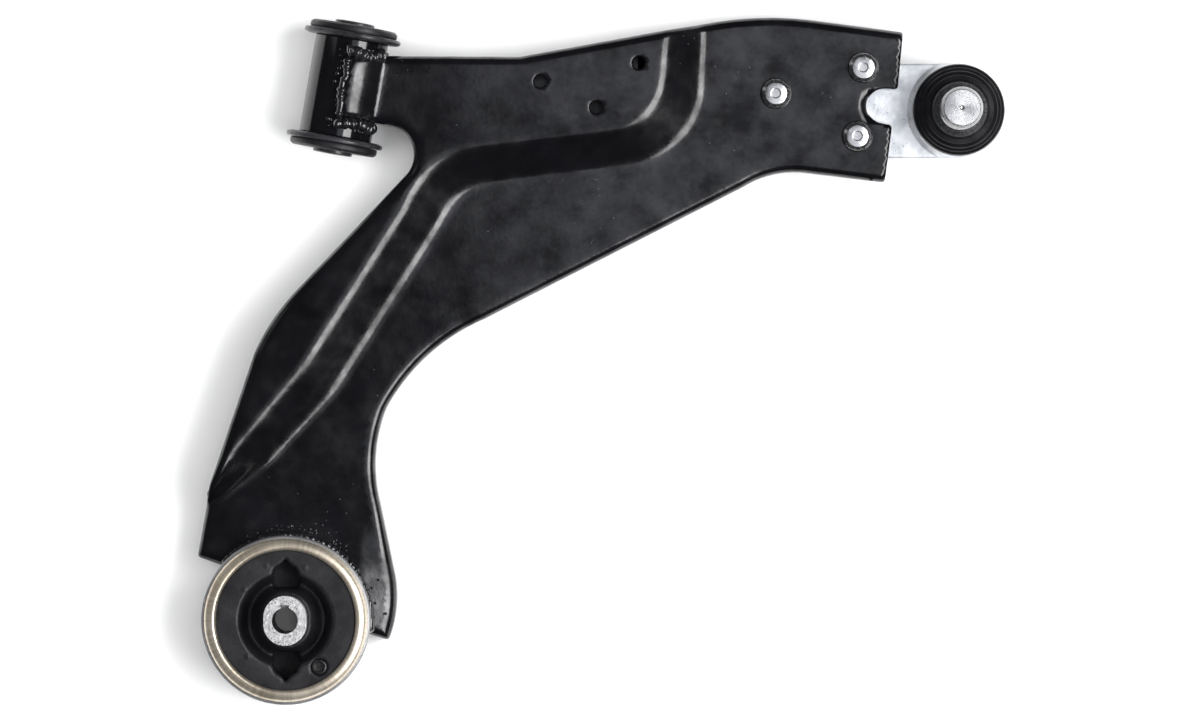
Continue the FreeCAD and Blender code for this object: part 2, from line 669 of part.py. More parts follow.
def make_ball_joint(doc):
    """Cup, seat, cover, stud, boot and the boot's two rings, all on one vertical axis."""
    plate_top = "dims.main_level - dims.sheet_gauge"
    cup = revolve(doc, "ball_joint_housing", [
        ("dims.seat_radius", "dims.cup_foot + 3"),
        ("dims.cup_radius - 2.5", "dims.cup_foot + 3"),
        ("dims.cup_radius - 2.5", "dims.cup_foot"),
        ("dims.cup_radius - 1", "dims.cup_foot"),
        ("dims.cup_radius", "dims.cup_foot + 1"),
        ("dims.cup_radius", plate_top),
        ("dims.cup_rim_radius", plate_top + " + 1.5"),
        ("dims.cup_rim_radius", "dims.cup_crest - 1"),
        ("dims.cup_rim_radius - 1", "dims.cup_crest"),
        ("dims.seat_radius + 1.5", "dims.cup_crest"),
        ("dims.seat_radius", "dims.cup_crest - 6"),
    ])
    cover = revolve(doc, "ball_joint_cover", [
        ("0", "dims.cup_foot - 0.5"),
        ("dims.cup_radius - 5", "dims.cup_foot - 0.5"),
        ("dims.cup_radius - 2.6", "dims.cup_foot + 0.6"),
        ("dims.cup_radius - 2.6", "dims.cup_foot + 1.8"),
        ("0", "dims.cup_foot + 1.8"),
    ])
    stud_blank = revolve(doc, "stud_shank", [
        ("0", "dims.ball_z + 6"),
        ("dims.stud_neck", "dims.ball_z + 8"),
        ("dims.stud_neck + 0.6", "dims.ball_z + 16"),
        ("dims.stud_seat", "dims.boot_crest - 10"),
        ("dims.stud_seat", "dims.boot_crest + 0.2"),
        ("dims.stud_radius", "dims.boot_crest + 0.5"),
        ("dims.stud_radius", "dims.boot_crest + 10"),
        ("dims.stud_waist", "dims.boot_crest + 13"),
        ("dims.stud_waist", "dims.boot_crest + 17"),
        ("dims.stud_radius", "dims.boot_crest + 20"),
        ("dims.stud_radius", "dims.stud_end - 1.7"),
        ("dims.stud_radius - 1.7", "dims.stud_end"),
        ("0", "dims.stud_end"),
    ])
    ball = doc.addObject("Part::Sphere", "ball")
    ball.setExpression("Radius", cell("ball_radius"))
    ball.setExpression("Placement.Base.z", cell("ball_z"))
    stud = fuse(doc, "ball_stud", [stud_blank, ball])
    seat_blank = revolve(doc, "seat_blank", [
        ("3", "dims.cup_foot + 3"),
        ("dims.seat_radius", "dims.cup_foot + 3"),
        ("dims.seat_radius", "dims.ball_z + 7"),
        ("3", "dims.ball_z + 7"),
    ])
    seat_room = doc.addObject("Part::Sphere", "seat_room")
    seat_room.setExpression("Radius", "dims.ball_radius + 0.05")
    seat_room.setExpression("Placement.Base.z", cell("ball_z"))
    seat = cut(doc, "ball_seat", seat_blank, seat_room)
    lower_ring = revolve(doc, "boot_ring_lower", [
        ("dims.seat_radius + 2.2", "dims.cup_crest + 0.3"),
        ("dims.boot_radius - 0.2", "dims.cup_crest + 0.3"),
        ("dims.boot_radius - 0.2", "dims.cup_crest + 2.3"),
        ("dims.seat_radius + 2.2", "dims.cup_crest + 2.3"),
    ])
    boot = revolve(doc, "dust_boot", [
        ("dims.seat_radius + 1", "dims.cup_crest + 2.6"),
        ("dims.boot_radius - 0.6", "dims.cup_crest + 2.6"),
        ("dims.boot_radius", "dims.cup_crest + 6"),
        ("dims.boot_radius - 0.6", "dims.cup_crest + 10"),
        ("dims.boot_radius - 3.5", "dims.boot_crest - 5"),
        ("dims.stud_radius + 3.3", "dims.boot_crest - 2.7"),
        ("dims.stud_radius + 0.3", "dims.boot_crest - 2.7"),
        ("dims.stud_radius + 0.3", "dims.boot_crest - 6"),
        ("dims.boot_radius - 5", "dims.boot_crest - 8"),
        ("dims.boot_radius - dims.boot_wall", "dims.cup_crest + 6"),
    ])
    upper_ring = revolve(doc, "boot_ring_upper", [
        ("dims.stud_seat + 0.06", "dims.boot_crest - 2.4"),
        ("dims.stud_radius + 3.3", "dims.boot_crest - 2.4"),
        ("dims.stud_radius + 3.3", "dims.boot_crest - 0.7"),
        ("dims.stud_radius + 2.6", "dims.boot_crest"),
        ("dims.stud_seat + 0.06", "dims.boot_crest"),
    ])
    pieces = [cup, cover, stud, seat, lower_ring, boot, upper_ring]
    for piece in pieces:
        stand_at(piece, cell("ball_x"), cell("ball_y"))
    return pieces


def make_rivets(doc):
    """Three flat-crowned rivets through the upper shell, the plate and the closing pressing."""
    heads = []
    under = "dims.closing_level - dims.sheet_gauge"
    for number, (x, y) in enumerate(RIVETS, start=1):
        rivet = revolve(doc, "rivet_%d" % number, [
            ("0", under + " - dims.rivet_crown"),
            ("dims.rivet_head / 2 - 2.5", under + " - dims.rivet_crown"),
            ("dims.rivet_head / 2", under + " - 1"),
            ("dims.rivet_head / 2", under),
            ("dims.rivet_shank / 2", under),
            ("dims.rivet_shank / 2", "dims.main_level"),
            ("dims.rivet_head / 2", "dims.main_level"),
            ("dims.rivet_head / 2", "dims.main_level + 1.2"),
            ("dims.rivet_head / 2 - 1.3", "dims.main_level + dims.rivet_crown - 1"),
            ("dims.rivet_head / 2 - 3.2", "dims.main_level + dims.rivet_crown"),
            ("0", "dims.main_level + dims.rivet_crown"),
        ])
        rivet.Placement.Base = Vector(x, y, 0)
        heads.append(rivet)
    return group_of(doc, "rivets", heads)


def make_seam_weld(doc, shells):
    """Stitches along the foot of the skirt, where it meets the closing pressing's edge."""
    names = [corner[0] for corner in ARM_PLAN]
    beads = []
    for number, (name, along, length) in enumerate(STITCHES, start=1):
        corner = names.index(name)
        start = Vector(ARM_PLAN[corner][1], ARM_PLAN[corner][2], 0)
        end = Vector(ARM_PLAN[corner + 1][1], ARM_PLAN[corner + 1][2], 0)
        heading = (end - start).normalize()
        inward = Vector(-heading.y, heading.x, 0)
        bead = doc.addObject("Part::Cylinder", "stitch_%d" % number)
        bead.setExpression("Radius", cell("stitch_radius"))
        bead.Height = length
        bead.Placement.Rotation = FreeCAD.Rotation(Vector(0, 0, 1), heading)
        foot = start + heading * along + inward * DIMENSIONS["sheet_gauge"]
        bead.Placement.Base = foot + Vector(0, 0, DIMENSIONS["skirt_level"])
        beads.append(bead)
    return cut(doc, "seam_weld", group_of(doc, "stitches", beads), fuse(doc, "stitch_room", shells))


def make_welds(doc, upper_shell):
    """Fillet welds: front sleeve to the upper shell's tongue, and housing to shell."""
    bead = revolve(doc, "housing_bead", [
        ("dims.housing_radius", "dims.main_level"),
        ("dims.housing_radius + 3.4", "dims.main_level"),
        ("dims.housing_radius + 2.2", "dims.main_level + 1.6"),
        ("dims.housing_radius", "dims.main_level + 3.2"),
    ])
    wedge = doc.addObject("Part::Box", "bead_reach")
    for side in ("Length", "Width", "Height"):
        wedge.setExpression(side, cell("tool_height"))
    wedge.Placement = FreeCAD.Placement(Vector(-30.0, 30.0, 0), FreeCAD.Rotation(Vector(0, 0, 1), -50))
    ring_weld = doc.addObject("Part::Common", "rear_housing_weld")
    ring_weld.Label = "rear_housing_weld"
    ring_weld.Base = bead
    ring_weld.Tool = wedge
    crown = "dims.front_centre_z + dims.sleeve_radius"
    roll = doc.addObject("Part::Cylinder", "crown_bead")
    roll.setExpression("Radius", cell("bead_radius"))
    roll.setExpression("Height", "dims.saddle_half * 2")
    roll.Placement.Rotation = FreeCAD.Rotation(Vector(0, 0, 1), front_heading())
    middle = Vector(DIMENSIONS["front_centre_x"], DIMENSIONS["front_centre_y"], 0)
    roll.Placement.Base = middle - front_heading() * DIMENSIONS["saddle_half"]
    roll.setExpression("Placement.Base.z", crown + " + 0.8")
    room = sleeve_room(doc, "crown_bead_sleeve") + [upper_shell]
    sleeve_weld = cut(doc, "front_sleeve_weld", roll, fuse(doc, "crown_bead_room", room))
    return [ring_weld, sleeve_weld]


def check_document(doc, pieces):
    """Stop if any object failed to build or any piece has no valid solid."""
    for feature in doc.Objects:
        if "Invalid" in feature.State or "Error" in feature.State:
            raise RuntimeError("failed object: " + feature.Name)
    for piece in pieces:
        if piece.Shape.isNull() or not piece.Shape.isValid() or piece.Shape.Volume <= 0:
            raise RuntimeError("no valid solid: " + piece.Label)


def main():
    doc = FreeCAD.newDocument("control_arm")
    make_sheet(doc)
    upper_shell = make_upper_shell(doc)
    lower_shell = make_lower_shell(doc)
    seam_weld = make_seam_weld(doc, [upper_shell, lower_shell])
    pieces = [upper_shell, lower_shell, seam_weld, make_ball_plate(doc), make_rivets(doc)]
    pieces += make_front_bush(doc)
    pieces += make_rear_bush(doc)
    pieces += make_ball_joint(doc)
    pieces += make_welds(doc, upper_shell)
    doc.recompute()
    check_document(doc, pieces)
    os.makedirs("parts", exist_ok=True)
    for piece in pieces:
        piece.Shape.exportStep("parts/" + piece.Label + ".step")
        print(piece.Label, round(piece.Shape.Volume), len(piece.Shape.Solids))


main()
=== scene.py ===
import bpy
import json
import math
import random

import bmesh
import numpy as np
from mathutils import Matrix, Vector, noise
from mathutils.geometry import delaunay_2d_cdt


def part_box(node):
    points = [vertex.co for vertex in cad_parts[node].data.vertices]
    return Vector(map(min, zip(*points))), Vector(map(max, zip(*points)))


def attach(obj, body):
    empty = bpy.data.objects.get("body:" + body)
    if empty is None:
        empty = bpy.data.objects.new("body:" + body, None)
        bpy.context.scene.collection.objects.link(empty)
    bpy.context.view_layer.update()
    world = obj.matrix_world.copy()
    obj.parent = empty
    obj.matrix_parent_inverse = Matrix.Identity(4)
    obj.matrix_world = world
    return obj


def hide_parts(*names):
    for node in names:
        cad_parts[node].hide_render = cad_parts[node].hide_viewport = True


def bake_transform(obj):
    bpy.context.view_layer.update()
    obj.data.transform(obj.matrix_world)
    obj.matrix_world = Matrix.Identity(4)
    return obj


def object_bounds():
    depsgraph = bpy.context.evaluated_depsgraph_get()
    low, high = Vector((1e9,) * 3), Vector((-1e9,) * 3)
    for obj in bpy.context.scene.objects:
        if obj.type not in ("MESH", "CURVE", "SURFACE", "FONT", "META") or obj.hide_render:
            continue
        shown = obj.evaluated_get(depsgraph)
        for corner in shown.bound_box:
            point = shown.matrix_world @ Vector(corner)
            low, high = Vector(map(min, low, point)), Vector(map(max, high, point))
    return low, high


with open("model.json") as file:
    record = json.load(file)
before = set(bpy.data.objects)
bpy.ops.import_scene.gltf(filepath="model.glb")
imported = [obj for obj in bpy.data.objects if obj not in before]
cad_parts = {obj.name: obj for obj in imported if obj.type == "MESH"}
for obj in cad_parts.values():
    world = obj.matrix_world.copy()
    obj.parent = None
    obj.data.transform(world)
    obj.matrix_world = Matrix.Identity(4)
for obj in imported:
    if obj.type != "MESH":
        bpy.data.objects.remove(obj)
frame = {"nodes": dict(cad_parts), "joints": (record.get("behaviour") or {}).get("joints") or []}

CAD_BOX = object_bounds()
MM = 0.001
ARM = "arm"

# ---------------------------------------------------------------- places taken from the frame, in mm


def box_mm(node):
    low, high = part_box(node)
    return low / MM, high / MM


def joint(name):
    """The frame's entry for a joint."""
    return [entry for entry in frame["joints"] if entry["name"] == name][0]


SKIRT_LEVEL = box_mm("upper_shell")[0].z
MAIN_LEVEL = box_mm("rear_housing_weld")[0].z
PLATE_LOW, PLATE_HIGH = box_mm("ball_joint_plate")
PLATE_HALF = (PLATE_HIGH.y - PLATE_LOW.y) / 2
SHEET = MAIN_LEVEL - PLATE_HIGH.z
STEP = 12.5
RAISED_LEVEL = MAIN_LEVEL + STEP
TOE_UNDERSIDE = PLATE_LOW.z - SHEET
HOUSING_RADIUS = box_mm("rear_bush_housing")[1].x
CUP_LOW, CUP_HIGH = box_mm("ball_joint_housing")
BALL_AXIS = (CUP_LOW + CUP_HIGH) / 2
BALL = (BALL_AXIS.x, BALL_AXIS.y, 0)
FRONT_CENTRE = Vector(joint("front_bush_twist")["pos_m"]) / MM
FRONT_AXIS = Vector(joint("front_bush_twist")["axis"]).normalized()
FRONT_SIDE = FRONT_AXIS.cross(Vector((0, 0, 1))).normalized()
SLEEVE_LOW, SLEEVE_HIGH = box_mm("front_bush_sleeve")
SLEEVE_RADIUS = (SLEEVE_HIGH.z - SLEEVE_LOW.z) / 2
FRONT_EDGE = np.array((FRONT_AXIS.x, FRONT_AXIS.y))
SIDE_EDGE = np.array((FRONT_SIDE.x, FRONT_SIDE.y))
SLEEVE_MIDDLE = np.array((FRONT_CENTRE.x, FRONT_CENTRE.y))

# The tongue of the upper shell that lies over the front sleeve.
TONGUE_START = 1.4
TONGUE_FRONT = SLEEVE_MIDDLE + SIDE_EDGE * TONGUE_START + FRONT_EDGE * 16.6
TONGUE_REAR = SLEEVE_MIDDLE + SIDE_EDGE * TONGUE_START - FRONT_EDGE * 15.4

# Plans in mm: a corner, and the radius of the stretch that follows it, positive where it bulges
# to the right of the drawing direction. The arm's plan runs anticlockwise.
RING_CLEAR = HOUSING_RADIUS + 0.2
RING_LEFT = math.radians(139.5)
RING_RIGHT = math.radians(-10.0)
ARM_PLAN = [
    (*TONGUE_FRONT, 0),
    (*TONGUE_REAR, 0),
    (52.0, 249.6, -15.0),
    (59.5, 223.5, 0),
    (3.5, 164.6, 110.0),
    (-16.2, 134.0, 0),
    (-38.5, 68.0, 0),
    (-45.0, 31.8, 0),
    (RING_CLEAR * math.cos(RING_LEFT), RING_CLEAR * math.sin(RING_LEFT), -RING_CLEAR),
    (RING_CLEAR * math.cos(RING_RIGHT), RING_CLEAR * math.sin(RING_RIGHT), 0),
    (51.6, -10.6, 60.0),
    (55.0, 22.2, 0),
    (47.5, 58.6, -78.0),
    (50.5, 107.0, -102.0),
    (100.0, 152.0, 0),
    (231.0, 218.7, -48.0),
    (264.0, 225.7, 0),
    (302.5, 221.0, 0),
    (306.3, 249.8, 0),
    (300.5, 251.0, -8.9),
    (302.0, 268.6, 0),
    (309.1, 268.2, 0),
    (311.8, 297.2, 0),
    (266.0, 303.2, 170.0),
    (215.0, 302.0, 0),
    (118.0, 284.4, 0),
]
UPPER_BEND = [
    (-41.0, 60.0, 0),
    (-24.0, 88.0, 0),
    (9.6, 129.1, 0),
    (60.6, 209.1, -41.0),
    (95.3, 238.1, 0),
    (164.9, 246.2, 33.0),
    (190.4, 274.0, 0),
    (194.5, 320.0, 0),
]
LOWER_BEND = [
    (-40.5, 58.0, 0),
    (-10.2, 78.8, 0),
    (24.0, 115.0, 0),
    (77.9, 201.0, -38.0),
    (103.0, 222.4, 0),
    (180.0, 232.0, 39.0),
    (209.5, 268.0, 0),
    (211.5, 320.0, 0),
]
TOOLING_HOLES = [(128.4, 271.9), (178.2, 281.2), (156.6, 258.7)]
TOOLING_RADIUS = 3.2
SLIVER_AREA = 0.06

# ---------------------------------------------------------------- plan geometry


def ease(share):
    """From 0 to 1 with level ends."""
    return share * share * (3 - 2 * share)


def away_from(points, x, y):
    """Distance from each point to a place."""
    return np.hypot(points[:, 0] - x, points[:, 1] - y)


def trace(plan, step, closed=True):
    """Points at about the given step along a plan's lines and arcs."""
    points = []
    last = len(plan) if closed else len(plan) - 1
    for index in range(last):
        x, y, radius = plan[index]
        start = np.array((x, y))
        end = np.array(plan[(index + 1) % len(plan)][:2])
        chord = end - start
        length = np.hypot(*chord)
        if not radius:
            count = max(1, round(length / step))
            points += [start + chord * k / count for k in range(count)]
            continue
        right = np.array((chord[1], -chord[0])) / length
        rise = math.sqrt(radius * radius - length * length / 4)
        centre = (start + end) / 2 - right * math.copysign(rise, radius)
        first = math.atan2(*(start - centre)[::-1])
        turn = 2 * math.asin(length / 2 / abs(radius)) * math.copysign(1, radius)
        count = max(2, round(abs(turn * radius) / step))
        for k in range(count):
            angle = first + turn * k / count
            points.append(centre + abs(radius) * np.array((math.cos(angle), math.sin(angle))))
    if not closed:
        points.append(np.array(plan[-1][:2]))
    return np.array(points)


def resample(points, step, closed=True):
    """The same path with points evenly spaced."""
    path = np.vstack([points, points[:1]]) if closed else points
    gaps = np.hypot(*np.diff(path, axis=0).T)
    along = np.concatenate([[0], np.cumsum(gaps)])
    count = max(3, round(along[-1] / step))
    marks = np.linspace(0, along[-1], count + (0 if closed else 1), endpoint=not closed)
    return np.column_stack([np.interp(marks, along, path[:, k]) for k in range(2)])


def soften(points, reach, closed=True):
    """The path with its corners rounded by averaging over a few neighbours."""
    kernel = np.exp(-np.linspace(-2, 2, 2 * reach + 1) ** 2)
    kernel /= kernel.sum()
    mode = "wrap" if closed else "edge"
    padded = np.pad(points, ((reach, reach), (0, 0)), mode=mode)
    return np.column_stack([np.convolve(padded[:, k], kernel, "valid") for k in range(2)])


def nearest(points, path, closed=True):
    """Distance from each point to a path, with the side: positive on the path's left."""
    ends = np.roll(path, -1, axis=0) if closed else path[1:]
    starts = path if closed else path[:-1]
    best = np.full(len(points), 1e9)
    side = np.ones(len(points))
    for a, b in zip(starts, ends):
        chord = b - a
        span = chord @ chord
        if span < 1e-12:
            continue
        share = np.clip(((points - a) @ chord) / span, 0, 1)
        away = points - a - share[:, None] * chord
        gap = np.hypot(away[:, 0], away[:, 1])
        closer = gap < best - 1e-9
        best[closer] = gap[closer]
        turn = chord[0] * away[:, 1] - chord[1] * away[:, 0]
        side[closer] = np.where(turn[closer] >= 0, 1, -1)
    return best * side


def inside(points, loop):
    """Whether each point lies in a closed loop."""
    x, y = points[:, 0], points[:, 1]
    result = np.zeros(len(points), bool)
    previous = loop[-1]
    for corner in loop:
        crosses = (corner[1] > y) != (previous[1] > y)
        with np.errstate(divide="ignore", invalid="ignore"):
            reach = (previous[0] - corner[0]) * (y - corner[1]) / (previous[1] - corner[1]) + corner[0]
        result ^= crosses & (x < reach)
        previous = corner
    return result


def hex_grid(low, high, pitch):
    """Evenly scattered points over a rectangle."""
    rows = np.arange(low[1], high[1], pitch * math.sqrt(0.75))
    columns = np.arange(low[0], high[0], pitch)
    grid = [(x + (pitch / 2 if row % 2 else 0), y) for row, y in enumerate(rows) for x in columns]
    return np.array(grid)


def circle(x, y, radius, count):
    """Points round a circle."""
    angles = 2 * math.pi * np.arange(count) / count
    return np.column_stack([x + radius * np.cos(angles), y + radius * np.sin(angles)])


def triangulate(loops, scatter):
    """Triangles that fill the first loop less the others, using the scattered points too."""
    points = []
    edges = []
    for loop in loops:
        first = len(points)
        points += [Vector(p) for p in loop]
        edges += [(first + k, first + (k + 1) % len(loop)) for k in range(len(loop))]
    points += [Vector(p) for p in scatter]
    out, _, faces, origins, _, _ = delaunay_2d_cdt(points, edges, [], 0, 1e-5)
    out = np.array([tuple(p) for p in out])
    centres = np.array([out[list(face)].mean(axis=0) for face in faces])
    keep = inside(centres, loops[0])
    for loop in loops[1:]:
        keep &= ~inside(centres, loop)
    place = {}
    for number, sources in enumerate(origins):
        for source in sources:
            place[source] = number
    fixed = sum(len(loop) for loop in loops)
    edge_vertices = {place[k] for k in range(fixed)}
    kept = []
    for face, ok in zip(faces, keep):
        a, b, c = out[face[0]], out[face[1]], out[face[2]]
        area = abs((b[0] - a[0]) * (c[1] - a[1]) - (b[1] - a[1]) * (c[0] - a[0])) / 2
        if ok and (area > SLIVER_AREA or not edge_vertices.issuperset(face)):
            kept.append(tuple(face))
    loop_numbers = []
    first = 0
    for loop in loops:
        loop_numbers.append([place[first + k] for k in range(len(loop))])
        first += len(loop)
    return out, kept, loop_numbers


# ---------------------------------------------------------------- mesh helpers


def smooth_faces(mesh):
    mesh.polygons.foreach_set("use_smooth", [True] * len(mesh.polygons))


def add_to_scene(name, data):
    obj = bpy.data.objects.new(name, data)
    bpy.context.scene.collection.objects.link(obj)
    return obj


def new_object(name, vertices, faces):
    """A smooth-shaded mesh object from millimetres."""
    mesh = bpy.data.meshes.new(name)
    mesh.from_pydata([tuple(np.array(v) * MM) for v in vertices], [], faces)
    mesh.validate()
    obj = add_to_scene(name, mesh)
    bm = bmesh.new()
    bm.from_mesh(mesh)
    loose = [v for v in bm.verts if not v.link_faces]
    bmesh.ops.delete(bm, geom=loose, context="VERTS")
    bmesh.ops.recalc_face_normals(bm, faces=bm.faces)
    bm.to_mesh(mesh)
    bm.free()
    smooth_faces(mesh)
    return obj


def finish_piece(obj, body, material, slot, *nodes):
    """Give a piece its material and its body, and hide the CAD nodes that it stands for. The slot is not
    used.
    """
    obj.data.materials.clear()
    obj.data.materials.append(material)
    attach(obj, body)
    if nodes:
        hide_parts(*nodes)
    return obj


def apply_modifiers(obj):
    """Bake the object's modifiers into its mesh."""
    bpy.context.view_layer.update()
    graph = bpy.context.evaluated_depsgraph_get()
    mesh = bpy.data.meshes.new_from_object(obj.evaluated_get(graph))
    obj.modifiers.clear()
    obj.data = mesh
    smooth_faces(mesh)
    return obj


def rounded_profile(corners, steps=5):
    """A closed polygon of (radius, level, rounding) with each corner rounded by an arc."""
    result = []
    count = len(corners)
    for index, (r, z, rounding) in enumerate(corners):
        here = np.array((r, z), float)
        before = np.array(corners[index - 1][:2], float) - here
        after = np.array(corners[(index + 1) % count][:2], float) - here
        if rounding <= 0:
            result.append(tuple(here))
            continue
        before_length, after_length = np.hypot(*before), np.hypot(*after)
        before, after = before / before_length, after / after_length
        half = math.acos(np.clip(before @ after, -1, 1)) / 2
        reach = min(rounding / math.tan(half), 0.48 * before_length, 0.48 * after_length)
        for k in range(steps + 1):
            t = k / steps
            a = here + before * reach * (1 - t) ** 2 + after * reach * t ** 2
            result.append(tuple(a))
    return result


def lathe(name, profile, centre=(0, 0, 0), axis=(0, 0, 1), segments=128, shape=None):
    """Turn a closed (radius, level) profile about an axis; points on the axis are shared."""
    turn = Vector((0, 0, 1)).rotation_difference(Vector(axis))
    centre = Vector(centre)
    vertices = []
    rings = []
    for r, z in profile:
        if r < 1e-6:
            rings.append([len(vertices)] * segments)
            vertices.append(centre + turn @ Vector((0, 0, z)))
            continue
        ring = []
        for k in range(segments):
            angle = 2 * math.pi * k / segments
            reach, level = shape(r, z, angle) if shape else (r, z)
            ring.append(len(vertices))
            spot = Vector((reach * math.cos(angle), reach * math.sin(angle), level))
            vertices.append(centre + turn @ spot)
        rings.append(ring)
    faces = []
    for index, ring in enumerate(rings):
        other = rings[(index + 1) % len(rings)]
        if len(set(ring)) == 1 and len(set(other)) == 1:
            continue
        for k in range(segments):
            n = (k + 1) % segments
            corners = []
            for v in (ring[k], ring[n], other[n], other[k]):
                if v not in corners:
                    corners.append(v)
            if len(corners) > 2:
                faces.append(tuple(corners))
    return new_object(name, vertices, faces)


# ---------------------------------------------------------------- materials


def shader_of(mat):
    return mat.node_tree.nodes["Principled BSDF"]


def place_of(mat):
    """The finish's own coordinates, in metres."""
    mappings = [node for node in mat.node_tree.nodes if node.bl_idname == "ShaderNodeMapping"]
    return mappings[0].outputs["Vector"]


def noise_node(mat, place, scale, detail):
    node = mat.node_tree.nodes.new("ShaderNodeTexNoise")
    node.inputs["Scale"].default_value = scale
    node.inputs["Detail"].default_value = detail
    mat.node_tree.links.new(place, node.inputs["Vector"])
    return node


def map_range(mat, value, span, low, high):
    """A value that spans a range, spread from low to high."""
    node = mat.node_tree.nodes.new("ShaderNodeMapRange")
    node.inputs["From Min"].default_value = span[0]
    node.inputs["From Max"].default_value = span[1]
    node.inputs["To Min"].default_value = low
    node.inputs["To Max"].default_value = high
    mat.node_tree.links.new(value, node.inputs["Value"])
    return node.outputs["Result"]


def math_node(mat, operation, first, second):
    """A sum of a socket and either a number or another socket."""
    node = mat.node_tree.nodes.new("ShaderNodeMath")
    node.operation = operation
    mat.node_tree.links.new(first, node.inputs[0])
    if isinstance(second, float):
        node.inputs[1].default_value = second
    else:
        mat.node_tree.links.new(second, node.inputs[1])
    return node.outputs[0]


def tint_over(mat, amount, colour):
    """Lay a colour over the base colour, by an amount from 0 to 1."""
    links = mat.node_tree.links
    base = shader_of(mat).inputs["Base Color"]
    mix = mat.node_tree.nodes.new("ShaderNodeMix")
    mix.data_type = "RGBA"
    links.new(amount, mix.inputs["Factor"])
    links.new(base.links[0].from_socket, mix.inputs[6])
    mix.inputs[7].default_value = (*colour, 1)
    links.new(mix.outputs[2], base)


def add_relief(mat, height, strength, distance):
    """Raise the surface by a height, on top of any relief that it has."""
    links = mat.node_tree.links
    normal = shader_of(mat).inputs["Normal"]
    push = mat.node_tree.nodes.new("ShaderNodeBump")
    push.inputs["Strength"].default_value = strength
    push.inputs["Distance"].default_value = distance
    links.new(height, push.inputs["Height"])
    if normal.links:
        links.new(normal.links[0].from_socket, push.inputs["Normal"])
    links.new(push.outputs["Normal"], normal)


def material(name, light, dark, rough, patches, metallic=0.0, bump=0.2, grain=900.0, coat=0.0,
             middle=(0, 0, 0)):
    """A finish with patches of two tints, uneven roughness and a fine relief.

    patches and grain are how many patches and how many bumps there are in a metre."""
    mat = bpy.data.materials.new(name)
    mat.use_nodes = True
    nodes = mat.node_tree.nodes
    links = mat.node_tree.links
    shader = shader_of(mat)
    shader.inputs["Metallic"].default_value = metallic
    shader.inputs["Coat Weight"].default_value = coat
    shader.inputs["Coat Roughness"].default_value = 0.12
    coordinate = nodes.new("ShaderNodeTexCoord")
    mapping = nodes.new("ShaderNodeMapping")
    mapping.inputs["Location"].default_value = [-value * MM for value in middle]
    links.new(coordinate.outputs["Object"], mapping.inputs["Vector"])
    place = mapping.outputs["Vector"]
    cloud = noise_node(mat, place, patches, 6.0)
    tint = nodes.new("ShaderNodeValToRGB")
    for stop, position, colour in zip(tint.color_ramp.elements, (0.34, 0.68), (dark, light)):
        stop.position = position
        stop.color = (*colour, 1)
    links.new(cloud.outputs["Fac"], tint.inputs["Fac"])
    links.new(tint.outputs["Color"], shader.inputs["Base Color"])
    smudge = noise_node(mat, place, patches * 3.1, 4.0)
    links.new(map_range(mat, smudge.outputs["Fac"], (0.3, 0.7), *rough), shader.inputs["Roughness"])
    add_relief(mat, noise_node(mat, place, grain, 3.0).outputs["Fac"], bump, 0.0003)
    return mat


def add_specks(mat, scale, size, colour, share):
    """Small round marks, such as pits or dust, over part of the finish."""
    cells = mat.node_tree.nodes.new("ShaderNodeTexVoronoi")
    cells.inputs["Scale"].default_value = scale
    mat.node_tree.links.new(place_of(mat), cells.inputs["Vector"])
    near = math_node(mat, "LESS_THAN", cells.outputs["Distance"], size)
    where = noise_node(mat, place_of(mat), scale / 9, 2.0)
    part = math_node(mat, "GREATER_THAN", where.outputs["Fac"], 1 - share)
    tint_over(mat, math_node(mat, "MULTIPLY", near, part), colour)


def add_mottle(mat, scale, low, high):
    """Cloudy patches where the finish shines more or less."""
    patches = noise_node(mat, place_of(mat), scale, 8.0)
    patches.inputs["Roughness"].default_value = 0.68
    shine = shader_of(mat).inputs["Specular IOR Level"]
    shine.default_value = (low + high) / 2
    spread = map_range(mat, patches.outputs["Fac"], (0.36, 0.64), low, high)
    mat.node_tree.links.new(spread, shine)


def add_zone(mat, radius, inner, colour, metallic=None):
    """Another tint inside, or outside, a radius in mm about the finish's own upright axis."""
    nodes = mat.node_tree.nodes
    links = mat.node_tree.links
    flat = nodes.new("ShaderNodeVectorMath")
    flat.operation = "MULTIPLY"
    flat.inputs[1].default_value = (1, 1, 0)
    links.new(place_of(mat), flat.inputs[0])
    reach = nodes.new("ShaderNodeVectorMath")
    reach.operation = "LENGTH"
    links.new(flat.outputs[0], reach.inputs[0])
    span = ((radius - 0.08) * MM, (radius + 0.08) * MM)
    edge = map_range(mat, reach.outputs["Value"], span, float(inner), float(not inner))
    tint_over(mat, edge, colour)
    if metallic is not None:
        shader = shader_of(mat)
        fade = map_range(mat, edge, (0.0, 1.0), shader.inputs["Metallic"].default_value, metallic)
        links.new(fade, shader.inputs["Metallic"])


def add_rings(mat, pitch, depth, warp=0.0):
    """Turning marks: fine rings about the finish's own upright axis."""
    wave = mat.node_tree.nodes.new("ShaderNodeTexWave")
    wave.wave_type = "RINGS"
    wave.rings_direction = "Z"
    wave.inputs["Scale"].default_value = 0.314 / pitch
    wave.inputs["Distortion"].default_value = warp
    mat.node_tree.links.new(place_of(mat), wave.inputs["Vector"])
    add_relief(mat, wave.outputs["Fac"], depth, 0.0002)


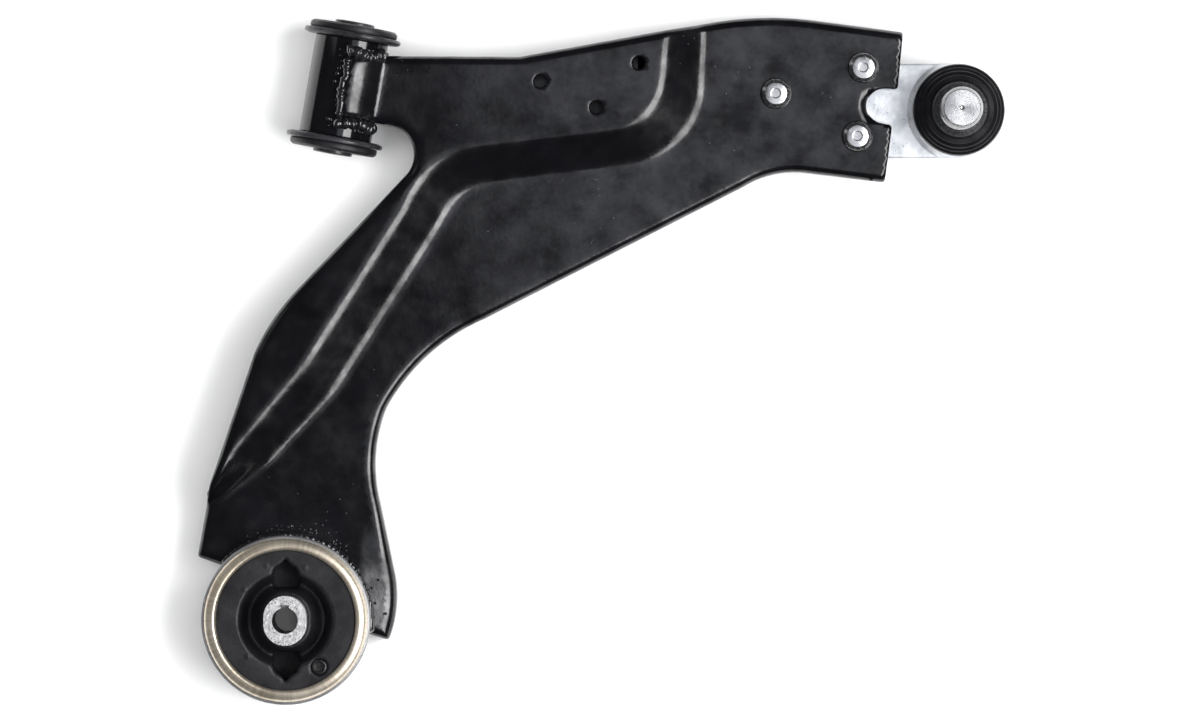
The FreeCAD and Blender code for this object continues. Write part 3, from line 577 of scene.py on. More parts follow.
def add_streaks(mat, colour, amount):
    """Streaks that run outward from the finish's upright axis, such as handling stains."""
    nodes = mat.node_tree.nodes
    links = mat.node_tree.links
    split = nodes.new("ShaderNodeSeparateXYZ")
    links.new(place_of(mat), split.inputs[0])
    around = nodes.new("ShaderNodeCombineXYZ")
    links.new(math_node(mat, "ARCTAN2", split.outputs["Y"], split.outputs["X"]), around.inputs["X"])
    links.new(split.outputs["Z"], around.inputs["Z"])
    fine = noise_node(mat, around.outputs[0], 34.0, 5.0)
    wide = noise_node(mat, around.outputs[0], 1.3, 2.0)
    both = math_node(mat, "MULTIPLY", fine.outputs["Fac"], wide.outputs["Fac"])
    tint_over(mat, map_range(mat, both, (0.2, 0.42), 0.0, amount), colour)


coat = material("black_coat", (0.004, 0.004, 0.0052), (0.002, 0.002, 0.0026), (0.14, 0.26), 34.0,
                bump=0.12, grain=520.0, coat=0.05)
add_mottle(coat, 46.0, 0.18, 0.80)
add_specks(coat, 230.0, 0.07, (0.055, 0.055, 0.06), 0.40)
sleeve_coat = material("sleeve_coat", (0.004, 0.004, 0.0052), (0.002, 0.002, 0.0026), (0.07, 0.15), 40.0,
                       bump=0.06, grain=420.0, coat=0.2)
weld_coat = material("weld_coat", (0.012, 0.012, 0.014), (0.004, 0.004, 0.005), (0.08, 0.20), 120.0,
                     bump=0.5, grain=900.0, coat=0.8)
zinc = material("zinc_plate", (0.76, 0.77, 0.79), (0.44, 0.46, 0.49), (0.30, 0.50), 110.0,
                metallic=0.65, bump=0.45, grain=600.0)
add_specks(zinc, 420.0, 0.12, (0.20, 0.21, 0.23), 0.5)
cover_steel = material("cover_steel", (0.66, 0.63, 0.52), (0.50, 0.47, 0.38), (0.28, 0.42), 60.0,
                       metallic=1.0, middle=BALL)
add_rings(cover_steel, 0.0016, 0.2)
rivet_steel = material("rivet_steel", (0.74, 0.74, 0.74), (0.50, 0.50, 0.51), (0.16, 0.30), 160.0,
                       metallic=1.0, bump=0.15, grain=500.0)
stud_steel = material("stud_steel", (0.54, 0.54, 0.54), (0.46, 0.46, 0.47), (0.24, 0.31), 120.0,
                      metallic=1.0, bump=0.10, middle=BALL)
add_rings(stud_steel, 0.0007, 0.12, 0.2)
turned = stud_steel.node_tree.nodes.new("ShaderNodeTangent")
turned.direction_type = "RADIAL"
turned.axis = "Z"
shader_of(stud_steel).inputs["Anisotropic"].default_value = 0.8
stud_steel.node_tree.links.new(turned.outputs["Tangent"], shader_of(stud_steel).inputs["Tangent"])
boot_rubber = material("boot_rubber", (0.006, 0.006, 0.007), (0.003, 0.003, 0.004), (0.32, 0.46), 70.0,
                       grain=1600.0)
add_mottle(boot_rubber, 60.0, 0.04, 0.18)
add_specks(boot_rubber, 300.0, 0.07, (0.06, 0.06, 0.06), 0.4)
ring_steel = material("boot_ring_steel", (0.62, 0.63, 0.66), (0.34, 0.35, 0.37), (0.24, 0.40), 200.0,
                      metallic=1.0)
neck_ring = material("neck_ring", (0.030, 0.030, 0.032), (0.014, 0.014, 0.016), (0.22, 0.34), 150.0,
                     bump=0.15, middle=BALL)
add_rings(neck_ring, 0.0012, 0.3)
seat_plastic = material("seat_plastic", (0.66, 0.63, 0.56), (0.52, 0.49, 0.43), (0.36, 0.50), 60.0,
                        bump=0.15)
gold = material("gold_passivate", (0.82, 0.75, 0.64), (0.66, 0.58, 0.46), (0.28, 0.42), 26.0,
                metallic=0.85, bump=0.12, grain=500.0)
add_streaks(gold, (0.26, 0.20, 0.14), 0.5)
add_zone(gold, 41.35, False, (0.40, 0.40, 0.41))
can_steel = material("bush_can_steel", (0.050, 0.050, 0.056), (0.016, 0.016, 0.018), (0.20, 0.38), 70.0,
                     metallic=0.3, bump=0.25, grain=600.0)
rubber = material("bush_rubber", (0.009, 0.009, 0.011), (0.005, 0.005, 0.006), (0.40, 0.56), 55.0,
                  bump=0.35, grain=1300.0)
add_mottle(rubber, 50.0, 0.25, 0.6)
add_specks(rubber, 260.0, 0.085, (0.005, 0.005, 0.005), 0.5)
sleeve_steel = material("sleeve_steel", (0.86, 0.85, 0.85), (0.50, 0.50, 0.51), (0.34, 0.56), 420.0,
                        metallic=0.85, bump=0.7)
add_specks(sleeve_steel, 700.0, 0.22, (0.16, 0.15, 0.15), 0.5)
# Inside 6.6 mm of the axis the bore is tinted near-black and made non-metallic: painted shade down the bore,
# with some darkening from grease too.
add_zone(sleeve_steel, 6.6, True, (0.008, 0.008, 0.009), 0.0)
channel_plastic = material("channel_plastic", (0.05, 0.05, 0.05), (0.03, 0.03, 0.03), (0.40, 0.55), 60.0)
plug_plastic = material("plug_plastic", (0.010, 0.010, 0.010), (0.005, 0.005, 0.006), (0.22, 0.36), 300.0,
                        bump=0.3)

# ---------------------------------------------------------------- upper shell

EDGE_ROUND = 4.6
EDGE_ROWS = (0.23, 0.88, 1.9, 3.2, EDGE_ROUND)
WALL_STEPS = 6
GRID_PITCH = 2.3
BORDER_PITCH = 1.9
OUTLINE_STEP = 1.35
HOLE_POINTS = 26
COLLAR = 0.8
BEND_REACH = 3.0
TAIL_SINK = 3.6
WRAP_BLEND = 2.2
TOE_CLIMB_START = 178.0
TOE_CLIMB_LENGTH = 54.0
BEND_STEP = 2.0
UPPER_PATH = soften(resample(trace(UPPER_BEND, 1.0, False), BEND_STEP, False), 4, False)
LOWER_PATH = soften(resample(trace(LOWER_BEND, 1.0, False), BEND_STEP, False), 4, False)


def sleeve_offset(points):
    """How far each point lies to the side of the front bush's axis, and along it."""
    away = points - SLEEVE_MIDDLE
    return away @ SIDE_EDGE, away @ FRONT_EDGE


def panel_level(points):
    """The height of the pressing's upper face."""
    upper = nearest(points, UPPER_PATH, False)
    lower = nearest(points, LOWER_PATH, False)
    width = np.maximum(lower - upper, 1e-6)
    share = -upper / width
    soft = np.clip(BEND_REACH / np.maximum(width, 6), 0.05, 0.45)
    ramp = np.clip(share, 0, 1)
    low_end = np.abs(share) < soft
    ramp = np.where(low_end, (share + soft) ** 2 / (4 * soft), ramp)
    high_end = np.abs(share - 1) < soft
    ramp = np.where(high_end, 1 - (1 - share + soft) ** 2 / (4 * soft), ramp)
    level = RAISED_LEVEL - STEP * ramp
    lean = np.clip((points[:, 0] - 38.0) / 18.0, 0, 1) * np.clip((52.0 - points[:, 1]) / 30.0, 0, 1)
    level -= TAIL_SINK * lean
    across, along = sleeve_offset(points)
    radius = SLEEVE_RADIUS + SHEET
    reach = np.clip(np.abs(across), 0, radius - 0.01)
    wrap = FRONT_CENTRE.z + np.sqrt(radius * radius - reach * reach)
    wrap = np.where((across < radius) & (np.abs(along) < 40) & (across > -radius), wrap, -100)
    gap = np.clip((level - wrap) / WRAP_BLEND, -1, 1)
    rise = np.where(np.abs(gap) < 1, (1 - np.abs(gap)) ** 2 / 4, 0)
    smooth = np.maximum(level, wrap) + WRAP_BLEND * rise
    return np.where(wrap > 0, smooth, level)


def skirt_foot(points):
    """The height at which the pressing's walls end."""
    level = np.full(len(points), SKIRT_LEVEL)
    climb = np.clip((points[:, 0] - TOE_CLIMB_START) / TOE_CLIMB_LENGTH, 0, 1)
    level += climb * (TOE_UNDERSIDE - SKIRT_LEVEL)
    across, along = sleeve_offset(points)
    near = (np.abs(across) < SLEEVE_RADIUS) & (np.abs(along) < 30)
    reach = np.clip(np.abs(across), 0, SLEEVE_RADIUS)
    tube = FRONT_CENTRE.z + np.sqrt(SLEEVE_RADIUS ** 2 - reach ** 2)
    return np.where(near, tube, level)


def outline_points(step):
    """The arm's outline with softened corners, whether a wall hangs from each point, and whether
    the edge there is rolled over into it."""
    loop = resample(trace(ARM_PLAN, 0.6), step)
    smooth = soften(loop, 2)
    ring = away_from(loop, 0, 0)
    on_ring = np.abs(ring - RING_CLEAR) < 0.4
    angle = np.arctan2(loop[:, 1], loop[:, 0])
    on_ring &= (angle > RING_RIGHT - 0.02) & (angle < RING_LEFT + 0.02)
    smooth[on_ring] = loop[on_ring]
    across, along = sleeve_offset(loop)
    on_tongue = (across < TONGUE_START + 0.6) & (np.abs(along) < 18)
    x, y = loop.T
    mouth = (x > 296) & (y > 229.0) & (y < 285.5)
    toe_end = (x > 294.5) & (y > 221.8) & (y < 296.6)
    wall = ~(on_ring | on_tongue | mouth)
    rolled = ~(on_ring | on_tongue | toe_end)
    return smooth, wall, rolled


def chains(loop, mask):
    """The stretches of a closed loop where the mask holds, as open paths."""
    count = len(loop)
    first = int(np.argmin(mask))
    found = []
    current = []
    for k in range(count + 1):
        number = (first + k) % count
        if mask[number] and k < count:
            current.append(loop[number])
            continue
        if len(current) > 1:
            found.append(np.array(current))
        current = []
    return found


def distance_to(points, paths):
    """Distance from each point to the nearest of several open paths."""
    return np.min([np.abs(nearest(points, path, False)) for path in paths], axis=0)


def waviness(points, seed, size, amount):
    """Slow unevenness of pressed sheet, in mm."""
    return np.array([amount * noise.noise(Vector((x / size, y / size, seed))) for x, y in points])


def inward_rows(loop, mask, rows):
    """Points at set distances inside a loop, left out where another edge is nearer."""
    ahead = np.roll(loop, -1, axis=0) - np.roll(loop, 1, axis=0)
    ahead /= np.hypot(*ahead.T)[:, None]
    inward = np.column_stack([-ahead[:, 1], ahead[:, 0]])
    found = []
    for row in rows:
        moved = (loop + inward * row)[mask]
        found.append(moved[nearest(moved, loop) > row * 0.86])
    return np.vstack(found)


def build_upper_shell():
    """The upper pressing: a panel with rolled edges, and walls down to their foot."""
    loop, wall, rolled = outline_points(OUTLINE_STEP)
    edges = chains(loop, rolled)
    rows = inward_rows(loop, rolled, EDGE_ROWS)
    low, high = loop.min(axis=0), loop.max(axis=0)
    grid = hex_grid(low, high, GRID_PITCH)
    grid = grid[nearest(grid, loop) > EDGE_ROUND + 1.0]
    strip = hex_grid(low, high, BORDER_PITCH)
    border = nearest(strip, loop)
    strip = strip[(border > 1.0) & (border < EDGE_ROUND + 1.0)]
    strip = strip[distance_to(strip, edges) > EDGE_ROUND + 0.8]
    holes = [circle(x, y, TOOLING_RADIUS, HOLE_POINTS) for x, y in TOOLING_HOLES]
    scatter = np.vstack([rows, grid, strip])
    for x, y in TOOLING_HOLES:
        scatter = scatter[away_from(scatter, x, y) > TOOLING_RADIUS + 1.3]
    collars = [circle(x, y, TOOLING_RADIUS + COLLAR, HOLE_POINTS) for x, y in TOOLING_HOLES]
    scatter = np.vstack([scatter] + collars)
    points, faces, loops = triangulate([loop] + holes, scatter)
    level = panel_level(points)
    level = level + waviness(points, 3.0, 46.0, 0.16) + waviness(points, 9.0, 15.0, 0.05)
    inset = np.clip(EDGE_ROUND - distance_to(points, edges), 0, EDGE_ROUND)
    drop = EDGE_ROUND - np.sqrt(np.maximum(EDGE_ROUND ** 2 - inset ** 2, 0))
    for x, y in TOOLING_HOLES:
        level -= 0.35 * np.clip(1 - (away_from(points, x, y) - TOOLING_RADIUS) / COLLAR, 0, 1)
    level = np.minimum(level - drop, box_mm("upper_shell")[1].z)
    vertices = [(x, y, z) for (x, y), z in zip(points, level)]
    edge = loops[0]
    foot = skirt_foot(loop)
    count = len(edge)
    columns = []
    for k in range(count):
        top = edge[k]
        x, y = points[top]
        fall = level[top] - foot[k]
        column = [top]
        if wall[k] and fall > 0.6:
            for step in range(1, WALL_STEPS + 1):
                column.append(len(vertices))
                vertices.append((x, y, level[top] - fall * step / WALL_STEPS))
        columns.append(column)
    for k in range(count):
        here, after = columns[k], columns[(k + 1) % count]
        if len(here) > 1 and len(after) > 1:
            faces += [(here[s], here[s + 1], after[s + 1], after[s]) for s in range(WALL_STEPS)]
    obj = new_object("upper_shell_pressing", vertices, faces)
    if sum(p.normal.z * p.area for p in obj.data.polygons) < 0:
        obj.data.flip_normals()
    thick = obj.modifiers.new("gauge", "SOLIDIFY")
    thick.thickness = SHEET * MM
    thick.offset = -1
    thick.use_quality_normals = True
    return apply_modifiers(obj)


finish_piece(build_upper_shell(), ARM, coat, "black_coat", "upper_shell")

# ---------------------------------------------------------------- front bush


# Profiles are corners of (radius, level, rounding) in mm.


def on_front_axis(name, profile, **extra):
    return lathe(name, profile, FRONT_CENTRE, FRONT_AXIS, **extra)


def mirrored(profile, sign):
    """The same profile at the other end when the sign is -1."""
    return [(r, sign * z) for r, z in profile]


HALF = 25.0
BUSH_SEGMENTS = 160
sleeve = on_front_axis("front_sleeve", rounded_profile([
    (16.0, -HALF, 0.4), (SLEEVE_RADIUS, -HALF, 0.7), (SLEEVE_RADIUS, -8.0, 0), (SLEEVE_RADIUS, 8.0, 0),
    (SLEEVE_RADIUS, HALF, 0.7), (16.0, HALF, 0.4),
]), segments=BUSH_SEGMENTS)
finish_piece(sleeve, ARM, sleeve_coat, "black_coat", "front_bush_sleeve")
tube = on_front_axis("front_tube", rounded_profile([
    (6.25, -33.8, 0.5), (10.0, -33.8, 0.9), (10.0, 33.8, 0.9), (6.25, 33.8, 0.5),
]), segments=96)
finish_piece(tube, "front_bush_core", can_steel, "sleeve_steel", "front_bush_inner_tube")
for end, sign in (("front", 1), ("rear", -1)):
    can = on_front_axis("front_can_" + end, mirrored(rounded_profile([
        (14.6, 13.0, 0.2), (16.0, 13.0, 0.2), (16.0, 25.05, 0.2), (22.6, 25.1, 0.8), (24.2, 25.7, 0.5),
        (24.65, 26.6, 0.6), (24.3, 28.0, 0.5), (23.2, 27.9, 0.5), (20.0, 27.4, 0.8), (14.6, 26.6, 0.6),
    ]), sign), segments=BUSH_SEGMENTS,
        shape=lambda r, z, a: (r - 0.12 * max(0, r - 22) * (1 + math.sin(3 * a + 1)) / 4, z))
    finish_piece(can, ARM, can_steel, "bush_can_steel", "front_bush_can_" + end)
    collar = on_front_axis("front_rubber_" + end, mirrored(rounded_profile([
        (10.05, 14.0, 0.3), (14.55, 14.0, 0.3), (14.55, 26.7, 0.4), (17.6, 27.7, 0.5), (21.8, 28.1, 0.5),
        (22.2, 29.4, 0.8), (22.0, 31.0, 0.9), (20.6, 32.0, 0.8), (18.2, 31.9, 0.6), (17.6, 31.2, 0.5),
        (16.6, 31.2, 0.5), (16.0, 31.9, 0.5), (12.2, 32.0, 0.5), (11.2, 31.3, 0.4), (10.05, 31.3, 0.2),
    ]), sign), segments=BUSH_SEGMENTS)
    finish_piece(collar, ARM, rubber, "bush_rubber", "front_bush_rubber_" + end)

# ---------------------------------------------------------------- rear bush

housing = lathe("rear_housing", rounded_profile([
    (38.5, 2.5, 0.4), (41.5, 2.5, 0.9), (41.5, 34.0, 0.5), (38.5, 34.0, 0.3),
]), segments=192)
finish_piece(housing, ARM, coat, "black_coat", "rear_bush_housing")
roll = [(36.9 + 4.35 * math.cos(math.radians(a)), 36.9 + 3.5 * math.sin(math.radians(a)))
        for a in range(0, 88, 6)]
flange = lathe("rear_can", rounded_profile([
    (36.5, 1.5, 0.3), (38.45, 1.5, 0.6), (38.45, 34.05, 0.2), (42.4, 34.1, 0.5), (42.9, 35.2, 0.8),
    (42.6, 36.5, 0.7), (41.8, 37.0, 0.4), (41.4, 36.6, 0),
], 6) + roll + rounded_profile([
    (36.6, 40.4, 0), (36.1, 40.1, 0.4), (35.5, 39.3, 0.5), (35.3, 38.3, 0.2), (35.3, 37.5, 0.1),
    (36.5, 37.5, 0),
], 4), segments=224)
finish_piece(flange, ARM, gold, "gold_passivate", "rear_bush_can")

CORE_HALF = 21.7 / 2
CORE_FLAT = (25.0 - 21.7) / 2
RUBBER_TOP = 37.5
RUBBER_FOOT = 5.0
RUBBER_EDGE = 36.4
VOID_FLOOR = 11.0
VOID_WEB = 2.0
DISH_RADIUS = 24.4
DISH_WALL = 5.2
DISH_DEPTH = 13.5
BOSS_REACH = 7.5
BOSS_HEIGHT = 8.0
PLUG_SPOT = (17.0, -23.5)
PIPS = [(10.0, 26.6), (-20.6, 15.4), (-19.0, -18.2), (16.0, -22.4), (-9.5, 27.6)]


def core_distance(points):
    """Distance from the inner sleeve's oval outline."""
    y = np.maximum(np.abs(points[:, 1]) - CORE_FLAT, 0)
    return np.hypot(points[:, 0], y) - CORE_HALF


def oval(margin, count):
    """The inner sleeve's outline, set out by a margin."""
    radius = CORE_HALF + margin
    angles = 2 * math.pi * (np.arange(count) + 0.5) / count
    y = radius * np.sin(angles)
    return np.column_stack([radius * np.cos(angles), y + np.sign(y) * CORE_FLAT])


def void_loop(sign):
    """The outline of the opening before or behind the inner sleeve: flat inside, pointed outside."""
    half = [(6.4, 16.2), (6.9, 23.0), (5.6, 26.2), (2.2, 28.4)]
    mirror = [(-x, y) for x, y in reversed(half)]
    path = np.array([mirror[-1]] + half + [(0.0, 31.0)] + mirror[:-1])
    path = soften(resample(path, 0.9), 1)
    path[:, 1] *= sign
    return path if sign > 0 else path[::-1]


def rubber_level(points):
    """The height of the rubber's upper face: a rim, a dish and a boss about the inner sleeve."""
    reach = np.hypot(points[:, 0], points[:, 1])
    level = np.full(len(points), RUBBER_TOP)
    level -= DISH_DEPTH * ease(np.clip((DISH_RADIUS - reach) / DISH_WALL, 0, 1))
    gap = core_distance(points)
    level += BOSS_HEIGHT * ease(np.clip(1 - gap / BOSS_REACH, 0, 1))
    level -= np.clip(1 - gap, 0, 1)
    level -= 0.5 * np.clip((reach - 35.0) / 1.2, 0, 1)
    for x, y in PIPS:
        level += 0.5 * np.clip(1 - away_from(points, x, y) / 1.4, 0, 1)
    return level


def slab(points, faces, loops, top, foot):
    """The vertices and faces of a closed skin between two levels over one plan."""
    count = len(points)
    vertices = [(x, y, z) for level in (top, foot) for (x, y), z in zip(points, level)]
    closed = list(faces) + [tuple(v + count for v in reversed(face)) for face in faces]
    for loop in loops:
        for k, v in enumerate(loop):
            n = loop[(k + 1) % len(loop)]
            closed.append((v, n, n + count, v + count))
    return vertices, closed


def build_rear_rubber():
    """The rear bush's rubber, with its two openings webbed over inside."""
    outer = circle(0, 0, RUBBER_EDGE, 200)
    inner = oval(0.05, 110)
    voids = [void_loop(1), void_loop(-1)]
    plug = circle(*PLUG_SPOT, 4.0, 30)
    grid = hex_grid((-37, -37), (37, 37), 1.05)
    reach = np.hypot(grid[:, 0], grid[:, 1])
    keep = (reach < RUBBER_EDGE - 0.6) & (core_distance(grid) > 0.5)
    for loop in voids + [plug]:
        keep &= np.abs(nearest(grid, loop)) > 0.5
    points, faces, loops = triangulate([outer, inner, plug] + voids, grid[keep])
    level = rubber_level(points)
    lips = np.full(len(points), 1e9)
    for loop in voids + [plug]:
        lips = np.minimum(lips, np.abs(nearest(points, loop)))
    level -= 0.7 * np.clip(1 - lips / 1.1, 0, 1) ** 2
    vertices, closed = slab(points, faces, loops, level, np.full(len(points), RUBBER_FOOT))
    for loop in loops[3:]:
        web = len(vertices)
        vertices += [(*points[v], VOID_FLOOR - depth) for depth in (0.0, VOID_WEB) for v in loop]
        span = len(loop)
        closed.append(tuple(range(web, web + span)))
        closed.append(tuple(reversed(range(web + span, web + 2 * span))))
    return new_object("rear_rubber", vertices, closed)


rear_rubber = build_rear_rubber()
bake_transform(rear_rubber)
spots = np.array([tuple(v.co)[:2] for v in rear_rubber.data.vertices]) / MM
rear_rubber.data.materials.append(rubber)
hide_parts("rear_bush_rubber")

plug = lathe("fill_plug", rounded_profile([
    (0.0, 32.5, 0), (3.85, 32.5, 0.2), (3.85, 37.7, 0.6), (2.7, 37.85, 0.3), (2.3, 37.2, 0.3), (0.0, 37.1, 0),
]), (*PLUG_SPOT, 0), segments=48)
finish_piece(plug, ARM, plug_plastic, "plug_plastic", "rear_bush_fill_plug")

# ---------------------------------------------------------------- ball joint


def at_ball(name, profile, **extra):
    return lathe(name, profile, BALL, (0, 0, 1), **extra)


def cup_flare(r, z, angle):
    """The forging's fillet spreads over the plate on the arm's side of the cup."""
    if r < 22.5 or z < 22.01 or z > 29.6:
        return r, z
    towards = max(0.0, -math.cos(angle))
    room = min(1.4, PLATE_HALF / max(abs(math.sin(angle)), 0.2) - 24.0)
    climb = (29.6 - z) / 7.6
    return r + max(0.0, room) * min(1.0, towards * 2.5) * climb ** 3, z


cup = at_ball("ball_cup", rounded_profile([
    (18.05, 4.6, 0.2), (19.0, 4.5, 0.2), (19.0, 1.5, 0.3), (20.5, 1.5, 0.4), (21.5, 2.5, 0.5),
    (21.5, 22.0, 0), (23.98, 22.02, 0), (23.95, 22.3, 0), (23.9, 23.0, 0), (23.8, 23.9, 0),
    (23.6, 25.2, 0), (23.45, 27.0, 0), (23.3, 29.5, 0), (23.1, 31.0, 0), (23.5, 34.2, 0.5),
    (23.5, 36.0, 0.5), (22.6, 37.0, 0.5), (19.6, 37.0, 0.3), (18.05, 31.0, 0.3),
]), segments=192, shape=cup_flare)
finish_piece(cup, ARM, zinc, "zinc_plate", "ball_joint_housing")
cover = at_ball("ball_cover", rounded_profile([
    (0.0, 1.1, 0), (12.0, 1.05, 0.6), (13.4, 1.7, 0.5), (15.0, 1.7, 0.5), (16.2, 1.0, 0.4),
    (18.2, 1.6, 0.5), (18.85, 2.1, 0.3), (18.85, 3.3, 0.2), (0.0, 3.3, 0),
]), segments=128)
finish_piece(cover, ARM, cover_steel, "cover_steel", "ball_joint_cover")
lower_ring = at_ball("boot_ring_wire", rounded_profile([
    (20.2, 37.3, 0.4), (22.2, 37.3, 0.8), (22.2, 39.3, 0.8), (20.2, 39.3, 0.4),
]), segments=144)
finish_piece(lower_ring, "boot_carrier", ring_steel, "boot_ring_steel", "boot_ring_lower")
boot = at_ball("boot", rounded_profile([
    (20.5, 39.6, 0.2), (22.4, 39.6, 0.4), (23.2, 40.8, 0.6), (22.5, 42.0, 0.4), (23.1, 43.6, 0.8),
    (22.6, 45.4, 0.6), (21.4, 46.2, 0.4), (21.0, 47.4, 0.8), (19.6, 48.4, 0.5), (19.2, 50.2, 0.8),
    (17.4, 51.2, 0.5), (16.9, 52.4, 0.6), (15.2, 52.6, 0.4), (14.0, 53.2, 0.3), (10.8, 53.2, 0.3),
    (10.8, 50.0, 0.4), (15.6, 48.4, 0.8), (18.9, 46.0, 0.8), (20.8, 42.6, 0.8),
], 4), segments=144)
boot.data.materials.append(boot_rubber)
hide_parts("dust_boot")
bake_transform(boot)
upper_ring = at_ball("boot_neck_ring", rounded_profile([
    (10.08, 53.6, 0.2), (13.8, 53.6, 0.4), (13.8, 55.0, 0.5), (13.0, 55.9, 0.3), (12.3, 55.3, 0.3),
    (11.6, 56.0, 0.3), (10.08, 55.8, 0.3),
]), segments=128)
finish_piece(upper_ring, "boot_neck", neck_ring, "neck_ring", "boot_ring_upper")
stud_profile = rounded_profile([
    (7.6, 29.0, 0), (7.2, 33.0, 0.8), (10.0, 46.0, 1.0), (10.0, 56.2, 0.2), (10.5, 56.5, 0.3),
    (10.5, 66.0, 0.6), (8.4, 69.0, 1.0), (8.4, 73.0, 1.0), (10.5, 76.0, 0.8), (10.5, 86.3, 0.4),
    (8.9, 88.0, 0.35), (1.2, 88.0, 0.1), (0.8, 87.7, 0.1), (0.0, 87.3, 0),
])
BALL_RADIUS = 13.5
BALL_LEVEL = 17.0
ball_arc = [(0.0, BALL_LEVEL - BALL_RADIUS)]
for turn in range(174, 30, -6):
    angle = math.radians(turn)
    ball_arc.append((BALL_RADIUS * math.sin(angle), BALL_LEVEL + BALL_RADIUS * math.cos(angle)))
stud = at_ball("ball_stud_turned", ball_arc + stud_profile, segments=144)
finish_piece(stud, "stud", stud_steel, "stud_steel", "ball_stud")

# ---------------------------------------------------------------- plate and rivets

RIVETS = [(291.6, 279.2), (288.7, 244.5), (247.4, 266.1)]
EYE_RADIUS = 21.4


def plate_loop():
    """The plate's outline: a straight tongue with a round end about the cup."""
    cx, cy = BALL_AXIS.x, BALL_AXIS.y
    corners = [
        (PLATE_LOW.x, cy - PLATE_HALF, 0),
        (cx, cy - PLATE_HALF, PLATE_HALF),
        (cx + PLATE_HALF, cy, PLATE_HALF),
        (cx, cy + PLATE_HALF, 0),
        (PLATE_LOW.x, cy + PLATE_HALF, 0),
    ]
    return soften(resample(trace(corners, 0.8), 1.2), 2)


def build_plate():
    """The ball joint's plate, with its edges broken."""
    loop = plate_loop()
    eye = circle(BALL_AXIS.x, BALL_AXIS.y, EYE_RADIUS, 96)
    grid = hex_grid(loop.min(axis=0), loop.max(axis=0), 2.4)
    grid = grid[nearest(grid, loop) > 1.6]
    rows = inward_rows(loop, np.ones(len(loop), bool), (0.12, 0.45, 0.95))
    scatter = np.vstack([grid, rows])
    scatter = scatter[away_from(scatter, BALL_AXIS.x, BALL_AXIS.y) > EYE_RADIUS + 1.0]
    points, faces, loops = triangulate([loop, eye], scatter)
    inset = np.clip(1.0 - np.abs(nearest(points, loop)), 0, 1)
    drop = 1.0 - np.sqrt(np.maximum(1.0 - inset ** 2, 0))
    wave = waviness(points, 21.0, 12.0, 0.05)
    top = np.minimum(PLATE_HIGH.z - drop + wave, PLATE_HIGH.z)
    foot = np.maximum(PLATE_LOW.z + drop - wave, PLATE_LOW.z)
    return new_object("ball_plate", *slab(points, faces, loops, top, foot))


finish_piece(build_plate(), ARM, zinc, "zinc_plate", "ball_joint_plate")

HEAD = MAIN_LEVEL
FOOT = TOE_UNDERSIDE
for number, (x, y) in enumerate(RIVETS, start=1):
    rng = random.Random(70 + number)
    lean = rng.uniform(0, 2 * math.pi)
    rivet = lathe("rivet_%d" % number, rounded_profile([
        (0.0, FOOT - 4.0, 0), (4.8, FOOT - 3.9, 1.0), (7.2, FOOT - 2.4, 1.2), (8.0, FOOT - 0.4, 0.5),
        (7.9, FOOT + 0.02, 0.1), (5.0, FOOT + 0.02, 0), (5.0, HEAD - 0.02, 0), (7.9, HEAD - 0.02, 0.1),
        (8.0, HEAD + 0.6, 0.5), (7.4, HEAD + 2.2, 1.2), (5.6, HEAD + 3.6, 1.2), (2.6, HEAD + 3.95, 0.8),
        (2.2, HEAD + 3.7, 0.3), (0.0, HEAD + 3.65, 0),
    ], 4), (x, y, 0), segments=72,
        shape=lambda r, z, a, lean=lean: (r * (1 - 0.012 * (1 + math.cos(a - lean))), z))
    finish_piece(rivet, ARM, rivet_steel, "rivet_steel", *(["rivets"] if number == 1 else []))

# ---------------------------------------------------------------- welds


def bead(name, path, radius, seed, ripple=2.4, lumps=0.3, sides=14):
    """A rippled weld bead along a path of (x, y, z) in mm."""
    path = np.array(path, float)
    gaps = np.linalg.norm(np.diff(path, axis=0), axis=1)
    along = np.concatenate([[0], np.cumsum(gaps)])
    count = max(8, int(along[-1] / 0.42))
    marks = np.linspace(0, along[-1], count)
    spine = np.column_stack([np.interp(marks, along, path[:, k]) for k in range(3)])
    vertices = []
    for k, mark in enumerate(marks):
        ahead = Vector(spine[min(k + 1, count - 1)] - spine[max(k - 1, 0)]).normalized()
        side = ahead.cross(Vector((0, 0, 1)))
        side = side.normalized() if side.length > 0.05 else Vector((1, 0, 0))
        up = side.cross(ahead).normalized()
        ends = min(1.0, math.sqrt(max(0.0, min(mark, along[-1] - mark)) / 2.4) + 0.12)
        swell = 1 + lumps * 0.5 * abs(math.sin(math.pi * mark / ripple))
        swell += lumps * noise.noise(Vector((mark / 3.1, seed, 0)))
        sway = 0.5 * radius * lumps * noise.noise(Vector((mark / 4.0, seed + 5, 1)))
        for j in range(sides):
            angle = 2 * math.pi * j / sides
            cast = Vector((mark / 1.3, math.cos(angle) * 1.4, seed + math.sin(angle)))
            reach = radius * swell * ends * (1 + 0.14 * noise.noise(cast))
            spot = Vector(spine[k]) + side * (math.cos(angle) * reach + sway)
            vertices.append(spot + up * math.sin(angle) * reach)
    faces = []
    for k in range(count - 1):
        for j in range(sides):
            n = (j + 1) % sides
            faces.append((k * sides + j, k * sides + n, (k + 1) * sides + n, (k + 1) * sides + j))
    faces.append(tuple(range(sides)))
    faces.append(tuple((count - 1) * sides + j for j in range(sides)))
    return new_object(name, vertices, faces)


